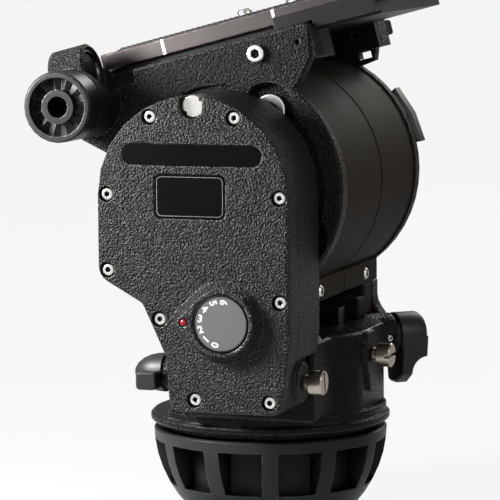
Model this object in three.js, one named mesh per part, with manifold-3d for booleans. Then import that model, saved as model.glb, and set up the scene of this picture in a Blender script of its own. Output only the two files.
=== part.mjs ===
// Fluid head for a camera: ribbed ball base, pan body with side drag unit and fixed drum,
// tilt frame with platform guide, and a sliding camera plate.
// Millimetres, +Z up. The origin is on the pan axis, on the underside of the ball base.
// X points to the head's front end, Y runs along the tilt axis, away from the side cover.
import * as THREE from 'three';
import { mergeVertices } from 'three/addons/utils/BufferGeometryUtils.js';
import Module from 'manifold-3d';

const wasm = await Module();
wasm.setup();

// Clearances, and the overrun of every cut
const fit_gap = 0.3;
const run_gap = 0.4;
const cut_overrun = 3;

// Ball base
const ball_radius = 50;
const equator_z = 38;
const ball_rim_chamfer = 0.8;
const pocket_floor_radius = 38.5;
const pocket_rib = 6.9;
const pocket_top_drop = 5;
const pocket_height = 19;
const spindle_radius = 14;
const spindle_height = 26;

// Pan body: heights from here on are above the ball's equator
// Neck, lip and skirt of the casting
const neck_radius = 46.5;
const neck_height = 2;
const lip_radius = 51.3;
const lip_height = 4.2;
const lip_round = 1.2;
const skirt_radius = 49.9;
const skirt_height = 3.8;
const skirt_round = 1;

// Body of the casting, its pads and the arms that carry the drum
const casting_radius = 48.9;
const casting_top = 43.3;
const casting_left = 31.5;
const casting_front = 46.2;
const casting_edge = 1;
const near_pad_left = 20;
const near_pad_right = 37.8;
const near_pad_depth = 24;
const near_pad_corner = 2;
const far_pad_face = 50.5;
const far_pad_front = 37.6;
const far_pad_depth = 20;
const far_pad_corner = 12;
const arm_half = 33.2;
const arm_thickness = 8.2;
const arm_fillet = 9;

// Shield-shaped boss of the far shoulder screw, on the front flat
const shield_half = 8.8;
const shield_top = 10.4;
const shield_point = 10.8;
const shield_proud = 1.6;
const shield_corner = 7;
const shield_edge = 0.8;

// Fixed drum, in two halves with feet
const tilt_axis_height = 106.4;
const drum_radius = 50;
const drum_near_face = 48.6;
const drum_far_face = 49.8;
const drum_seam_y = 1.9;
const drum_edge = 0.9;
const foot_half = 33;
const foot_bottom = 58;
const foot_ledge = 67;
const foot_edge = 0.8;
const drum_bolt_radius = 3.1;
const drum_bolt_head = 3;
const drum_bolt_height = 61.8;
const drum_bolt_near_y = -29;
const drum_bolt_far_y = 34;
const drum_bolt_socket = 1.6;

// Saddle block under the far half, and the dark block beside it
const saddle_near_y = 22;
const saddle_step_y = 30;
const saddle_step_height = 9;
const saddle_edge = 0.8;
const brake_block_y = 5;
const brake_block_depth = 8;
const brake_block_back = 20;
const brake_block_front = 29.5;
const brake_block_height = 6.4;
const brake_block_edge = 0.6;

// Side drag unit: housing and cover share one outline
const side_half = 40.8;
const cover_face_y = 94.5;
const cover_thickness = 11.1;
const cover_edge = 1.3;
const housing_edge = 0.6;
const side_shoulder_height = 73.5;
const side_waist_x = 22;
const side_waist_height = 63;
const side_shin_x = 12.1;
const side_shin_height = 41.7;
const side_foot_height = 19.5;
const side_foot_back = 10.6;
const side_foot_front = 36.8;
const side_hip_height = 50;
const shoulder_corner = 7;
const waist_corner = 4;
const foot_corner = 5;
const axle_pocket_wall = 6;

// Arched pocket in the lower front corner, round the near shoulder screw
const arch_floor_x = 34.8;
const arch_boss_height = 1.4;
const arch_boss_radius = 8.2;
const arch_top = 40.5;
const arch_near_y = 89.5;
const arch_corner = 9;

// Cover screws and filler plug
const cover_screw_radius = 2.85;
const cover_screw_head = 2.4;
const cover_screw_socket = 1.35;
const counterbore_wall = 0.5;
const counterbore_depth = 2.4;
const screw_inset = 4.1;
const screw_left_height = 76.2;
const screw_right_height = 65.2;
const screw_waist_x = 14.5;
const screw_waist_height = 56.9;
const screw_foot_back = 0.3;
const screw_foot_front = 32;
const screw_foot_height = 24.7;
const plug_inset = 4.4;
const plug_radius = 4.4;
const plug_slot_radius = 4.9;
const plug_sink = 2.6;
const plug_notch = 0.9;

// Bare plates in shallow pockets of the cover
const name_plate_height = 123.4;
const name_plate_half = 29.5;
const name_plate_rise = 4.15;
const badge_height = 106.7;
const badge_x = -0.9;
const badge_half = 14.95;
const badge_rise = 8.8;
const badge_corner = 2.6;
const plate_sheet = 0.6;

// Tilt dial in its raised teardrop bezel
const dial_x = 13.2;
const dial_height = 56.5;
const dial_radius = 11.7;
const dial_rim = 0.6;
const dial_sheet = 0.6;
const dial_face_sink = 0.2;
const dial_depth = 4.4;
const bezel_wall = 1.3;
const bezel_flare = 3.4;
const bezel_rise = 4.2;
const bezel_tip = 2.6;
const pointer_reach = 15.8;
const pointer_radius = 1.7;
const pointer_depth = 1.4;

// Pan dial on the back wall of the casting
const pan_dial_y = 4;
const pan_dial_height = 25.6;
const pan_bezel_rise = 2.6;
const pan_bezel_flare = 1.4;

// Slotted shoulder screws
const shoulder_neck_radius = 2.9;
const shoulder_neck = 2.6;
const shoulder_radius = 5.1;
const shoulder_length = 6;
const shoulder_slot = 1.7;
const shoulder_slot_depth = 2.2;
const shoulder_chamfer = 0.5;
const near_shoulder_y = -62.5;
const near_shoulder_height = 28.8;
const far_shoulder_y = -6;
const far_shoulder_height = 32.6;

// Pan brake: collar on the casting and knob with a tail, drawn along X and turned outward
const pan_brake_deg = 42;
const pan_brake_height = 34.6;
const collar_radius = 9.9;
const collar_root = 42;
const collar_end = 56.8;
const collar_chamfer = 0.6;
const pan_knob_radius = 9.9;
const pan_knob_length = 14.2;
const pan_knob_neck = 1.4;
const pan_knob_neck_radius = 8.2;
const pan_knob_round = 3.2;
const tail_reach = 21;
const tail_tip_half = 6;
const tail_cut = 4.4;
const tail_thickness = 5.4;
const tail_round = 2;
const tail_edge = 0.9;
const tail_fillet = 7;
const set_screw_radius = 1.9;
const set_screw_station = 52.6;
const set_screw_length = 2.6;
const set_screw_socket = 0.9;

// Tilt brake: boss on the casting's back wall and domed knob with a wing
const tilt_brake_y = -38;
const tilt_brake_height = 26.3;
const tilt_boss_radius = 7.4;
const tilt_boss_proud = 1;
const tilt_knob_radius = 8.3;
const tilt_knob_length = 14.1;
const wing_reach = 14.2;
const wing_length = 8.9;
const wing_drop = 5.8;
const wing_rise = 1.7;
const wing_corner = 1.6;
const wing_edge = 0.6;

// Tilt frame, level and about the tilt axis: u runs along the platform, w square to it
const tilt_rest_deg = 14.7;
const axle_radius = 14;
const cheek_radius = 50.9;
const cheek_near_face = 55.2;
const cheek_near_inner = 49;
const cheek_far_face = 55.9;
const cheek_far_inner = 50.2;
const cheek_edge = 0.8;
const drum_clearance = 0.8;
const bar_inner = 42.6;
const bar_bottom_w = 42.4;
const bar_height = 14.8;
const bar_chamfer = 1.5;
const bar_rear_u = 36;
const bar_front_u = 52.4;
const chin_u = 50.2;
const chin_w = 43.1;
const chin_corner = 2;
const throat_u = 41.4;
const throat_w = 32.6;
const throat_corner = 6;
const nape_u = 44.7;
const nape_w = 24.3;
const boss_u = 49.2;
const boss_rise = 6.5;
const boss_radius = 14.6;
const boss_end = 76;

// Recess of the near cheek with four lobes round its bolts
const recess_radius = 42.9;
const recess_depth = 1.5;
const lobe_radius = 11.5;
const lobe_depth = 4.3;
const bolt_circle = 37.7;
const cheek_bolt_radius = 6.7;
const cheek_bolt_head = 3.4;
const cheek_bolt_socket = 3.2;

// Small pieces of the cheeks
const cap_screw_u = 27.9;
const cap_screw_drop = 7.1;
const cap_screw_radius = 3.7;
const cap_screw_head = 3.6;
const cap_screw_socket = 1.9;
const pin_hole_u = 46;
const pin_hole_drop = 6.8;
const pin_hole_radius = 1.1;
const pin_hole_depth = 3;

// Stepped front end and window of the far cheek
const far_front_u = 50.4;
const far_step_u = 47.5;
const far_step_w = 46;
const far_lug_u = 45;
const far_lug_w = 42.4;
const far_chin_u = 43.1;
const far_chin_w = 37.4;
const far_throat_u = 35.8;
const far_throat_w = 36.5;
const window_rear_u = 36.6;
const window_front_u = 42.2;
const window_bottom_w = 39;
const window_top_w = 42;

// Handle rosettes and the capped tube above them
const rosette_end = 89;
const rosette_rim = 2.4;
const rosette_sink = 5;
const rosette_hub = 7;
const rosette_bore = 4.4;
const rosette_tooth = 1.5;
const rosette_edge = 0.8;
const tube_y = 60.6;
const tube_rise = 3.7;
const tube_radius = 11.2;
const tube_front_u = 41;
const tube_rear_u = 57;
const tube_bore = 9;
const tube_bore_depth = 6;
const tube_edge = 0.9;
const cap_sink = 0.9;
const cap_dish = 0.8;

// Platform guide with a channelled dovetail and a near and a far flange
const guide_rear_u = 42;
const guide_front_u = 80;
const guide_step = 2.1;
const guide_thickness = 6;
const flange_drop = 0.2;
const flange_rear_u = 26;
const flange_front_u = 50.3;
const near_flange = 18;
const far_flange = 3.4;
const far_flange_bore = 1.6;
const far_flange_bore_u = 40.5;
const far_flange_bore_rise = 7;
const dovetail_height = 2.8;
const dovetail_foot = 20;
const dovetail_lean = 2.2;
const channel_half = 9.6;
const channel_depth = 1.1;
const rail_rear_u = 36;
const rail_inner = 45.4;
const rail_outer = 50;
const rail_rise = 0.4;
const rail_height = 5.1;
const rail_lip = 3.2;
const rail_edge = 0.5;

// Camera plate with its slot, screws and pads
const plate_rear_u = 44;
const plate_front_u = 86;
const plate_half = 45;
const plate_thickness = 6.9;
const plate_edge = 0.5;
const plate_corner = 3;
const slot_rear_u = 20;
const slot_front_u = 70;
const slot_half = 5;
const large_screw_u = 32;
const small_screw_u = 8;
const large_screw_radius = 4.7;
const small_screw_radius = 3.1;
const camera_screw_head = 2.6;
const camera_screw_head_radius = 8.4;
const camera_screw_proud = 5;
const camera_screw_chamfer = 0.6;
const pad_sheet = 1.2;
const pad_inset = 5;
const pad_slot_gap = 5;
const pad_corner = 2;

// Balance wheel and lock lever on the far side
const wheel_radius = 49;
const wheel_thickness = 5.6;
const wheel_edge = 1.2;
const wheel_hollow_radius = 26;
const wheel_hollow_depth = 2;
const grip_radius = 52;
const grip_inner = 36;
const grip_rise = 4;
const grip_start_deg = -2;
const grip_end_deg = 27;
const lever_pivot_u = 28.4;
const lever_y = 61.2;
const lever_rise = 4.4;
const lever_height = 6.6;
const lever_root = 4.6;
const lever_tip = 3;
const lever_reach = 19.4;
const lever_edge = 0.7;

// Shares of the sizes they follow
const button_crown_share = 0.35;
const socket_depth_share = 0.6;
const arm_bend_share = 0.35;
const dome_shares = [[1, 0], [0.97, 0.26], [0.87, 0.5], [0.71, 0.71], [0.5, 0.87], [0.26, 0.97], [0, 1]];

// Counts and angles of the patterns, and facets
const pocket_count = 12;
const pocket_phase_deg = -11.3;
const rosette_teeth = 12;
const top_screw_deg = [0.8, 60.8, 119.2, 179.2];
const cheek_bolt_deg = [45, 135, 225, 315];
const plug_notch_deg = [40, 220];
const round_sides = 48;
const mid_sides = 24;
const bolt_sides = 16;
const small_sides = 12;
const arc_step_deg = 15;

// Places that follow from the sizes above
const rad = Math.PI / 180;
const lip_bottom = run_gap + neck_height;
const lip_top = lip_bottom + lip_height;
const skirt_top = lip_top + skirt_height;
const arm_top = foot_bottom - fit_gap;
const cover_back_y = cover_face_y - cover_thickness;
const housing_front_y = cover_back_y - fit_gap;
const housing_back_y = cheek_near_face + run_gap;
const near_pad_face = housing_back_y - fit_gap;
const far_arm_near_y = drum_far_face - arm_thickness;
const dial_well_radius = dial_radius + run_gap;
const bezel_radius = dial_well_radius + bezel_wall;
const bezel_top_y = cover_face_y + bezel_rise;
const guide_half = bar_inner - fit_gap;
const plug_height = tilt_axis_height + side_half - plug_inset;
const bar_top_w = bar_bottom_w + bar_height;
const boss_w = bar_bottom_w + boss_rise;
const cap_screw_w = bar_top_w - cap_screw_drop;
const pin_hole_w = bar_top_w - pin_hole_drop;
const tube_w = bar_top_w + tube_rise;
const lever_bottom_w = bar_bottom_w + lever_rise;
const guide_top_w = bar_top_w + guide_step;
const guide_bottom_w = guide_top_w - guide_thickness;
const flange_bottom_w = bar_bottom_w - flange_drop;
const far_flange_bore_w = bar_bottom_w + far_flange_bore_rise;
const channel_floor_w = guide_top_w - channel_depth;
const dovetail_top_w = guide_top_w + dovetail_height;
const rail_bottom_w = bar_top_w + rail_rise;
const rail_top_w = rail_bottom_w + rail_height;
const plate_bottom_w = guide_top_w + fit_gap;
const plate_top_w = plate_bottom_w + plate_thickness;
const plate_ceiling_w = dovetail_top_w + fit_gap;
const everything = 4 * ball_radius;

const paint = (color, roughness, metalness) =>
  new THREE.MeshStandardMaterial({ color, roughness, metalness });
const black_casting = paint(0x2b2a28, 0.55, 0.2);
const brown_metal = paint(0x3a3530, 0.4, 0.6);
const black_satin = paint(0x1b1b1e, 0.4, 0.1);
const black_gloss = paint(0x0c0c0e, 0.15, 0);
const grey_metal = paint(0x4d4644, 0.5, 0.5);
const nickel = paint(0xd8d2c8, 0.25, 1);
const grey_face = paint(0x7c7c80, 0.45, 0.3);
const red_paint = paint(0xb01018, 0.3, 0);
const bare_plate = paint(0x241e1c, 0.4, 0.4);
const rubber = paint(0x1a1a1a, 0.9, 0);

// Solids ---------------------------------------------------------------------------------

// A closed geometry as a solid with its faces out
function solid(geometry) {
  const bare = geometry.clone();
  bare.deleteAttribute('normal');
  bare.deleteAttribute('uv');
  const joined = mergeVertices(bare, 1e-4);
  const spots = joined.attributes.position;
  const corner = (i) => new THREE.Vector3().fromBufferAttribute(spots, i);
  const faces = [];
  let volume = 0;
  for (let i = 0; i < joined.index.count; i += 3) {
    const [a, b, c] = [0, 1, 2].map((k) => joined.index.getX(i + k));
    if (a === b || b === c || c === a) continue;
    faces.push([a, b, c]);
    volume += corner(a).dot(corner(b).cross(corner(c)));
  }
  const facing = volume > 0 ? faces : faces.map(([a, b, c]) => [a, c, b]);
  return new wasm.Manifold(new wasm.Mesh({
    numProp: 3,
    vertProperties: new Float32Array(spots.array),
    triVerts: new Uint32Array(facing.flat()),
  }));
}

// Adds a solid to a group as a named mesh
function place(group, name, body, material) {
  const data = body.getMesh();
  const geometry = new THREE.BufferGeometry();
  geometry.setAttribute('position', new THREE.BufferAttribute(new Float32Array(data.vertProperties), 3));
  geometry.setIndex(new THREE.BufferAttribute(new Uint32Array(data.triVerts), 1));
  geometry.computeVertexNormals();
  const mesh = new THREE.Mesh(geometry, material);
  mesh.name = name;
  group.add(mesh);
}

const flat_points = (pairs) => pairs.map((pair) => new THREE.Vector2(pair[0], pair[1]));

// Points on an arc between two angles in degrees
function arc(x, y, radius, from_deg, to_deg, steps = Math.ceil(Math.abs(to_deg - from_deg) / arc_step_deg)) {
  const points = [];
  for (let k = 0; k <= steps; k += 1) {
    const angle = (from_deg + (to_deg - from_deg) * k / steps) * rad;
    points.push([x + radius * Math.cos(angle), y + radius * Math.sin(angle)]);
  }
  return points;
}

// One point at an angle, and the points of a full circle
const polar = (radius, deg) => [radius * Math.cos(deg * rad), radius * Math.sin(deg * rad)];
const circle = (radius, sides = mid_sides) => arc(0, 0, radius, 0, 360, sides).slice(0, -1);

// A polygon of [x, y, radius] corners; a corner with a radius becomes an arc
function outline(corners) {
  const count = corners.length;
  return corners.flatMap(([x, y, radius], i) => {
    const here = new THREE.Vector2(x, y);
    if (!radius) return [[x, y]];
    const [before, after] = flat_points([corners[(i + count - 1) % count], corners[(i + 1) % count]]);
    const back = before.sub(here).normalize();
    const ahead = after.sub(here).normalize();
    const opening = Math.acos(back.dot(ahead));
    const sweep = Math.PI - opening;
    const middle = back.clone().add(ahead).normalize();
    const centre = here.clone().addScaledVector(middle, radius / Math.sin(opening / 2));
    const spoke = here.clone().addScaledVector(back, radius / Math.tan(opening / 2)).sub(centre);
    const turn = -Math.sign(back.cross(ahead)) * sweep;
    const steps = Math.max(1, Math.round(sweep / rad / arc_step_deg));
    const points = [];
    for (let k = 0; k <= steps; k += 1) {
      const point = spoke.clone().rotateAround(new THREE.Vector2(), turn * k / steps).add(centre);
      points.push([point.x, point.y]);
    }
    return points;
  });
}

function rounded_box(x, y, half_x, half_y, radius) {
  return outline([
    [x - half_x, y - half_y, radius], [x + half_x, y - half_y, radius],
    [x + half_x, y + half_y, radius], [x - half_x, y + half_y, radius]]);
}

// Extrudes an outline in X and Y from one height to another, with chamfered or rounded edges
function prism(points, low, high, edge = 0, edge_steps = 1) {
  const geometry = new THREE.ExtrudeGeometry(new THREE.Shape(flat_points(points)), {
    depth: high - low - 2 * edge,
    bevelEnabled: edge > 0,
    bevelThickness: edge,
    bevelSize: edge,
    bevelOffset: -edge,
    bevelSegments: edge_steps,
  });
  geometry.translate(0, 0, low + edge);
  return solid(geometry);
}

// The same for an outline in X and Z, from one Y to another
function slab(points, near, far, edge = 0, edge_steps = 1) {
  return prism(points, -far, -near, edge, edge_steps).rotate([90, 0, 0]);
}

// A slab with only its near or only its far edge rounded
function faced_slab(points, near, far, edge, edge_steps = 1, far_side = false) {
  const [more_near, more_far] = far_side ? [edge, 0] : [0, edge];
  return slab(points, near - more_near, far + more_far, edge, edge_steps)
    .intersect(block(-everything, everything, near, far, -everything, everything));
}

// The same for an outline in Y and Z, from one X to another
function bar(points, rear, front, edge = 0, edge_steps = 1) {
  return prism(points, rear, front, edge, edge_steps).rotate([90, 0, 90]);
}

// Turns a profile of [radius, height] pairs round the Z axis
function turned(profile, sides = mid_sides) {
  const geometry = new THREE.LatheGeometry(flat_points(profile), sides);
  geometry.rotateX(Math.PI / 2);
  return solid(geometry);
}

// A disc or rod on the Z axis, with its edges chamfered if asked, alike or each by its own size
function disc(radius, low, high, edge = 0, sides = mid_sides) {
  const [low_edge, high_edge] = [edge].flat().length > 1 ? edge : [edge, edge];
  const foot = low_edge > 0 ? [[radius - low_edge, low], [radius, low + low_edge]] : [[radius, low]];
  const head = high_edge > 0 ? [[radius, high - high_edge], [radius - high_edge, high]] : [[radius, high]];
  return turned([[0, low], ...foot, ...head, [0, high]], sides);
}

// A body drawn up the Z axis, laid so that it points to the near side, the far side,
// the front or the back
const to_near = (body) => body.rotate([90, 0, 0]);
const to_far = (body) => body.rotate([-90, 0, 0]);
const to_front = (body) => body.rotate([0, 90, 0]);
const to_back = (body) => body.rotate([0, -90, 0]);

// A disc or rod along Y, at a place in X and Z; its far edge is named first
function disc_y(radius, near, far, x = 0, z = 0, edge = 0, sides = mid_sides) {
  return to_near(disc(radius, -far, -near, edge, sides)).translate([x, 0, z]);
}

function block(x0, x1, y0, y1, z0, z1) {
  const geometry = new THREE.BoxGeometry(x1 - x0, y1 - y0, z1 - z0);
  geometry.translate((x0 + x1) / 2, (y0 + y1) / 2, (z0 + z1) / 2);
  return solid(geometry);
}

// Skins a row of rings of [x, y, z] points; the row has flat ends or closes on itself
function loft(rings, closed = false) {
  const count = rings[0].length;
  const total = rings.length * count;
  const index = [];
  for (let r = 0; r < (closed ? rings.length : rings.length - 1); r += 1) {
    for (let i = 0; i < count; i += 1) {
      const a = r * count + i;
      const b = r * count + (i + 1) % count;
      index.push(a, b, (b + count) % total, a, (b + count) % total, (a + count) % total);
    }
  }
  if (!closed) {
    const top = total - count;
    const caps = THREE.ShapeUtils.triangulateShape(flat_points(rings[0]), []);
    caps.forEach(([a, b, c]) => index.push(c, b, a, top + a, top + b, top + c));
  }
  const geometry = new THREE.BufferGeometry();
  geometry.setAttribute('position', new THREE.Float32BufferAttribute(rings.flat(2), 3));
  geometry.setIndex(index);
  return solid(geometry);
}

// A round screw head on Z = 0 with a rounded crown and a six-sided socket
function socket_head(radius, height, socket, sides = small_sides) {
  const crown = height * button_crown_share;
  const head = turned([[0, 0], [radius, 0], [radius, height - crown], [radius - crown, height], [0, height]], sides);
  return head.subtract(prism(circle(socket, 6), height * (1 - socket_depth_share), height + cut_overrun));
}

// A raised bezel on Z = 0 that flares toward its foot: round, or a teardrop pointing to -X
function bezel(radius, rise, flare, tip = 0, reach = 0) {
  const lean = tip > 0 ? Math.acos((radius - tip) / reach) / rad : 0;
  const ring = (grow, z) => {
    const round = tip > 0
      ? [...arc(0, 0, radius + grow, lean - 180, 180 - lean), ...arc(-reach, 0, tip + grow, 180 - lean, 180 + lean)]
      : circle(radius + grow);
    return round.map(([x, y]) => [x, y, z]);
  };
  return loft([ring(flare, -flare), ring(flare, 0), ring(0, rise)]);
}

// Groups: the pan body stands on the ball's equator, the tilt frame on the tilt axis
const part = new THREE.Group();
const pan_body = new THREE.Group();
pan_body.position.z = equator_z;
const pan_brake = new THREE.Group();
pan_brake.position.z = pan_brake_height;
pan_brake.rotation.z = pan_brake_deg * rad;
const tilt_frame = new THREE.Group();
tilt_frame.position.z = tilt_axis_height;
tilt_frame.rotation.y = -tilt_rest_deg * rad;
part.add(pan_body);
pan_body.add(pan_brake, tilt_frame);

// Ball base ------------------------------------------------------------------------------

// A half ball cut flat below, turned in one piece with the pan spindle. Twelve pockets sunk
// into the ball leave upright ribs of one width under the plain band of the equator.
{
  const low_deg = Math.asin(equator_z / ball_radius) / rad;
  const skin = arc(0, equator_z, ball_radius, -low_deg, 0, 7);
  const spindle_top = equator_z + spindle_height;
  let ball = turned([
    [0, 0], [ball_radius * Math.cos(low_deg * rad), 0], ...skin.slice(1, -1),
    [ball_radius, equator_z - ball_rim_chamfer], [ball_radius - ball_rim_chamfer, equator_z],
    [spindle_radius, equator_z], [spindle_radius, spindle_top], [0, spindle_top],
  ], round_sides);
  const pitch = 360 / pocket_count;
  const half_width = (radius) =>
    radius * Math.tan(pitch / 2 * rad) - pocket_rib / 2 / Math.cos(pitch / 2 * rad);
  const inner = pocket_floor_radius;
  const outer = ball_radius + cut_overrun;
  const plan = [
    [inner, -half_width(inner)], [outer, -half_width(outer)], [outer, half_width(outer)], [inner, half_width(inner)]];
  const top = equator_z - pocket_top_drop;
  const pocket = prism(plan, top - pocket_height, top);
  for (let k = 0; k < pocket_count; k += 1) {
    ball = ball.subtract(pocket.rotate([0, 0, pocket_phase_deg + pitch * (k + 0.5)]));
  }
  place(part, 'ball_base', ball, black_satin);
}

// Base casting ---------------------------------------------------------------------------

// The collar of the pan brake, or its clearance
function pan_brake_collar(grow) {
  return to_front(disc(collar_radius + grow, collar_root - grow, collar_end, collar_chamfer))
    .rotate([0, 0, pan_brake_deg]).translate([0, 0, pan_brake_height]);
}

// The hollow in which the drum lies, cut from all that carries it
const drum_seat = disc_y(drum_radius + fit_gap, -everything, everything, 0, tilt_axis_height, 0, round_sides);

// Neck, lip and skirt are turned. The body above is round, with a flat at the front and at the
// back, a pad for the side housing and a far pad. Two arms reach up to the feet of the drum.
{
  const foot = turned([
    [0, run_gap], [neck_radius, run_gap], [neck_radius, lip_bottom],
    [lip_radius - lip_round, lip_bottom], [lip_radius, lip_bottom + lip_round],
    [lip_radius, lip_top - lip_round], [lip_radius - lip_round, lip_top], [0, lip_top],
  ], round_sides);
  const skirt = disc(skirt_radius, lip_top - lip_round, skirt_top, skirt_round, round_sides)
    .intersect(block(-casting_left - skirt_round, everything, -everything, everything, 0, skirt_top));
  const body = disc(casting_radius, lip_top - lip_round, casting_top, casting_edge, round_sides)
    .intersect(block(-casting_left, casting_front, -everything, everything, 0, casting_top));
  const near_pad = prism(outline([
    [-near_pad_left, -near_pad_face, near_pad_corner], [near_pad_right, -near_pad_face, near_pad_corner],
    [near_pad_right, near_pad_depth - near_pad_face, 0], [-near_pad_left, near_pad_depth - near_pad_face, 0],
  ]), skirt_top, casting_top, casting_edge);
  const far_pad = prism(outline([
    [-casting_left, far_pad_face - far_pad_depth, 0], [far_pad_front, far_pad_face - far_pad_depth, 0],
    [far_pad_front, far_pad_face, far_pad_corner], [-casting_left, far_pad_face, near_pad_corner],
  ]), lip_top - lip_round, casting_top, casting_edge);

  const arm_root = casting_top - casting_edge;
  const arm_bend = casting_top + (arm_top - casting_top) * arm_bend_share;
  const arm_back = casting_left - casting_edge;
  const arm_shape = outline([
    [-arm_back, arm_root - casting_edge, 0], [far_pad_front, arm_root - casting_edge, 0],
    [far_pad_front, arm_root, 0], [arm_half, arm_bend, arm_fillet], [arm_half, arm_top, 0],
    [-arm_half, arm_top, 0], [-arm_half, arm_bend, 0], [-arm_back, arm_root, 0],
  ]);
  const far_arm = slab(arm_shape, far_arm_near_y, drum_far_face, casting_edge / 2).subtract(drum_seat);
  const near_arm = slab(arm_shape, -drum_near_face, arm_thickness - drum_near_face, casting_edge / 2)
    .subtract(drum_seat);

  const collar = pan_brake_collar(0);
  const tilt_boss = to_back(disc(tilt_boss_radius, near_pad_left - near_pad_corner, casting_left + tilt_boss_proud))
    .translate([0, tilt_brake_y, tilt_brake_height]);
  const shield = bar(outline([
    [far_shoulder_y - shield_half, far_shoulder_height, 0],
    [far_shoulder_y, far_shoulder_height - 2 * shield_point, shield_corner / 2],
    [far_shoulder_y + shield_half, far_shoulder_height, 0],
    [far_shoulder_y + shield_half, far_shoulder_height + shield_top, shield_corner],
    [far_shoulder_y - shield_half, far_shoulder_height + shield_top, shield_corner],
  ]), casting_front - shield_corner, casting_front + shield_proud, shield_edge);
  const pan_bezel = to_back(bezel(bezel_radius, pan_bezel_rise, pan_bezel_flare))
    .translate([-casting_left, pan_dial_y, pan_dial_height]);

  let casting = foot.add(skirt).add(body).add(near_pad).add(far_pad).add(far_arm).add(near_arm)
    .add(collar).add(tilt_boss).add(shield).add(pan_bezel);
  casting = casting.subtract(disc(spindle_radius + run_gap, 0, spindle_height + run_gap));
  const dial_well = to_back(disc(dial_well_radius, pan_bezel_rise - dial_depth - run_gap, pan_bezel_rise + cut_overrun));
  casting = casting.subtract(dial_well.translate([-casting_left, pan_dial_y, pan_dial_height]));
  const screw_hole = disc(set_screw_radius + fit_gap, collar_radius - set_screw_length - fit_gap,
    collar_radius + cut_overrun, 0, small_sides);
  casting = casting.subtract(to_near(screw_hole).translate([set_screw_station, 0, 0])
    .rotate([0, 0, pan_brake_deg]).translate([0, 0, pan_brake_height]));
  place(pan_body, 'base_casting', casting, black_casting);
}

// Side drag unit -------------------------------------------------------------------------

// One outline for housing and cover: round over the tilt axis, cut in below the shoulder at
// the back, and drawn in to a narrow foot
const side_outline = outline([
  ...arc(0, tilt_axis_height, side_half, 0, 180).map(([x, z]) => [x, z, 0]),
  [-side_half, side_shoulder_height, shoulder_corner],
  [-side_waist_x, side_waist_height, waist_corner],
  [-side_shin_x, side_shin_height, 0],
  [-side_foot_back, side_foot_height, foot_corner],
  [side_foot_front, side_foot_height, foot_corner],
  [side_half, side_hip_height, 0],
]);

// The arched pocket takes the lower front corner off both
const arch = bar(outline([
  [-arch_near_y, side_foot_height - cut_overrun, 0],
  [-housing_back_y + arch_corner + cut_overrun, side_foot_height - cut_overrun, 0],
  [-housing_back_y + arch_corner + cut_overrun, arch_top, 0],
  [-arch_near_y, arch_top, arch_corner],
]), arch_floor_x, side_half + cut_overrun);

{
  let housing = slab(side_outline, -housing_front_y, -housing_back_y, housing_edge).subtract(arch);
  const boss = to_front(disc(arch_boss_radius, arch_floor_x - arch_boss_height, arch_floor_x + arch_boss_height))
    .translate([0, near_shoulder_y, near_shoulder_height]);
  housing = housing.add(boss.intersect(
    block(0, everything, -housing_front_y, -housing_back_y, side_foot_height, everything)));
  const axle_pocket = disc_y(axle_radius + run_gap, axle_pocket_wall - housing_front_y,
    cut_overrun - housing_back_y, 0, tilt_axis_height);
  place(pan_body, 'side_housing', housing.subtract(axle_pocket), black_casting);
}

// The cover: rounded front edge, plug slot, counterbores, plate pockets and the bezel
const screw_circle = side_half - screw_inset;
const cover_screw_places = [
  ...top_screw_deg.map((deg) => arc(0, tilt_axis_height, screw_circle, deg, deg, 1)[0]),
  [-screw_circle, screw_left_height],
  [screw_circle, screw_right_height],
  [-screw_waist_x, screw_waist_height],
  [screw_foot_back, screw_foot_height],
  [screw_foot_front, screw_foot_height],
];
const plate_pocket = plate_sheet + fit_gap;
const name_plate_shape = (grow) => rounded_box(0, name_plate_height, name_plate_half + grow,
  name_plate_rise + grow, name_plate_rise + grow - fit_gap / 2);
const badge_shape = (grow) => rounded_box(badge_x, badge_height, badge_half + grow, badge_rise + grow, badge_corner);
{
  let cover = faced_slab(side_outline, -cover_face_y, -cover_back_y, cover_edge, 2);
  cover = cover.add(to_near(bezel(bezel_radius, bezel_rise, bezel_flare, bezel_tip, pointer_reach))
    .translate([dial_x, -cover_face_y, dial_height]));
  cover = cover.subtract(disc_y(plug_slot_radius, -everything, 0, 0, plug_height));
  cover = cover.subtract(block(-plug_slot_radius, plug_slot_radius, -everything, 0, plug_height, everything));
  cover = cover.subtract(arch);
  for (const [x, z] of cover_screw_places) {
    cover = cover.subtract(disc_y(cover_screw_radius + counterbore_wall, -everything,
      counterbore_depth - cover_face_y, x, z, 0, small_sides));
  }
  const pocket_floor = plate_pocket - cover_face_y;
  cover = cover.subtract(slab(name_plate_shape(fit_gap), -everything, pocket_floor));
  cover = cover.subtract(slab(badge_shape(fit_gap), -everything, pocket_floor));
  cover = cover.subtract(disc_y(dial_well_radius, -everything, dial_depth + run_gap - bezel_top_y,
    dial_x, dial_height));
  cover = cover.subtract(disc_y(pointer_radius + fit_gap / 2, -everything, pointer_depth - bezel_top_y,
    dial_x - pointer_reach, dial_height, 0, small_sides));
  place(pan_body, 'side_cover', cover, black_casting);

  const plate_back = pocket_floor - fit_gap / 2;
  place(pan_body, 'name_plate', slab(name_plate_shape(0), plate_back - plate_sheet, plate_back), bare_plate);
  place(pan_body, 'badge_plate', slab(badge_shape(0), plate_back - plate_sheet, plate_back), bare_plate);
}

cover_screw_places.forEach(([x, z], i) => {
  const head = socket_head(cover_screw_radius, cover_screw_head, cover_screw_socket);
  place(pan_body, `cover_screw_${i + 1}`,
    to_near(head).translate([x, counterbore_depth - fit_gap - cover_face_y, z]), nickel);
});

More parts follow.
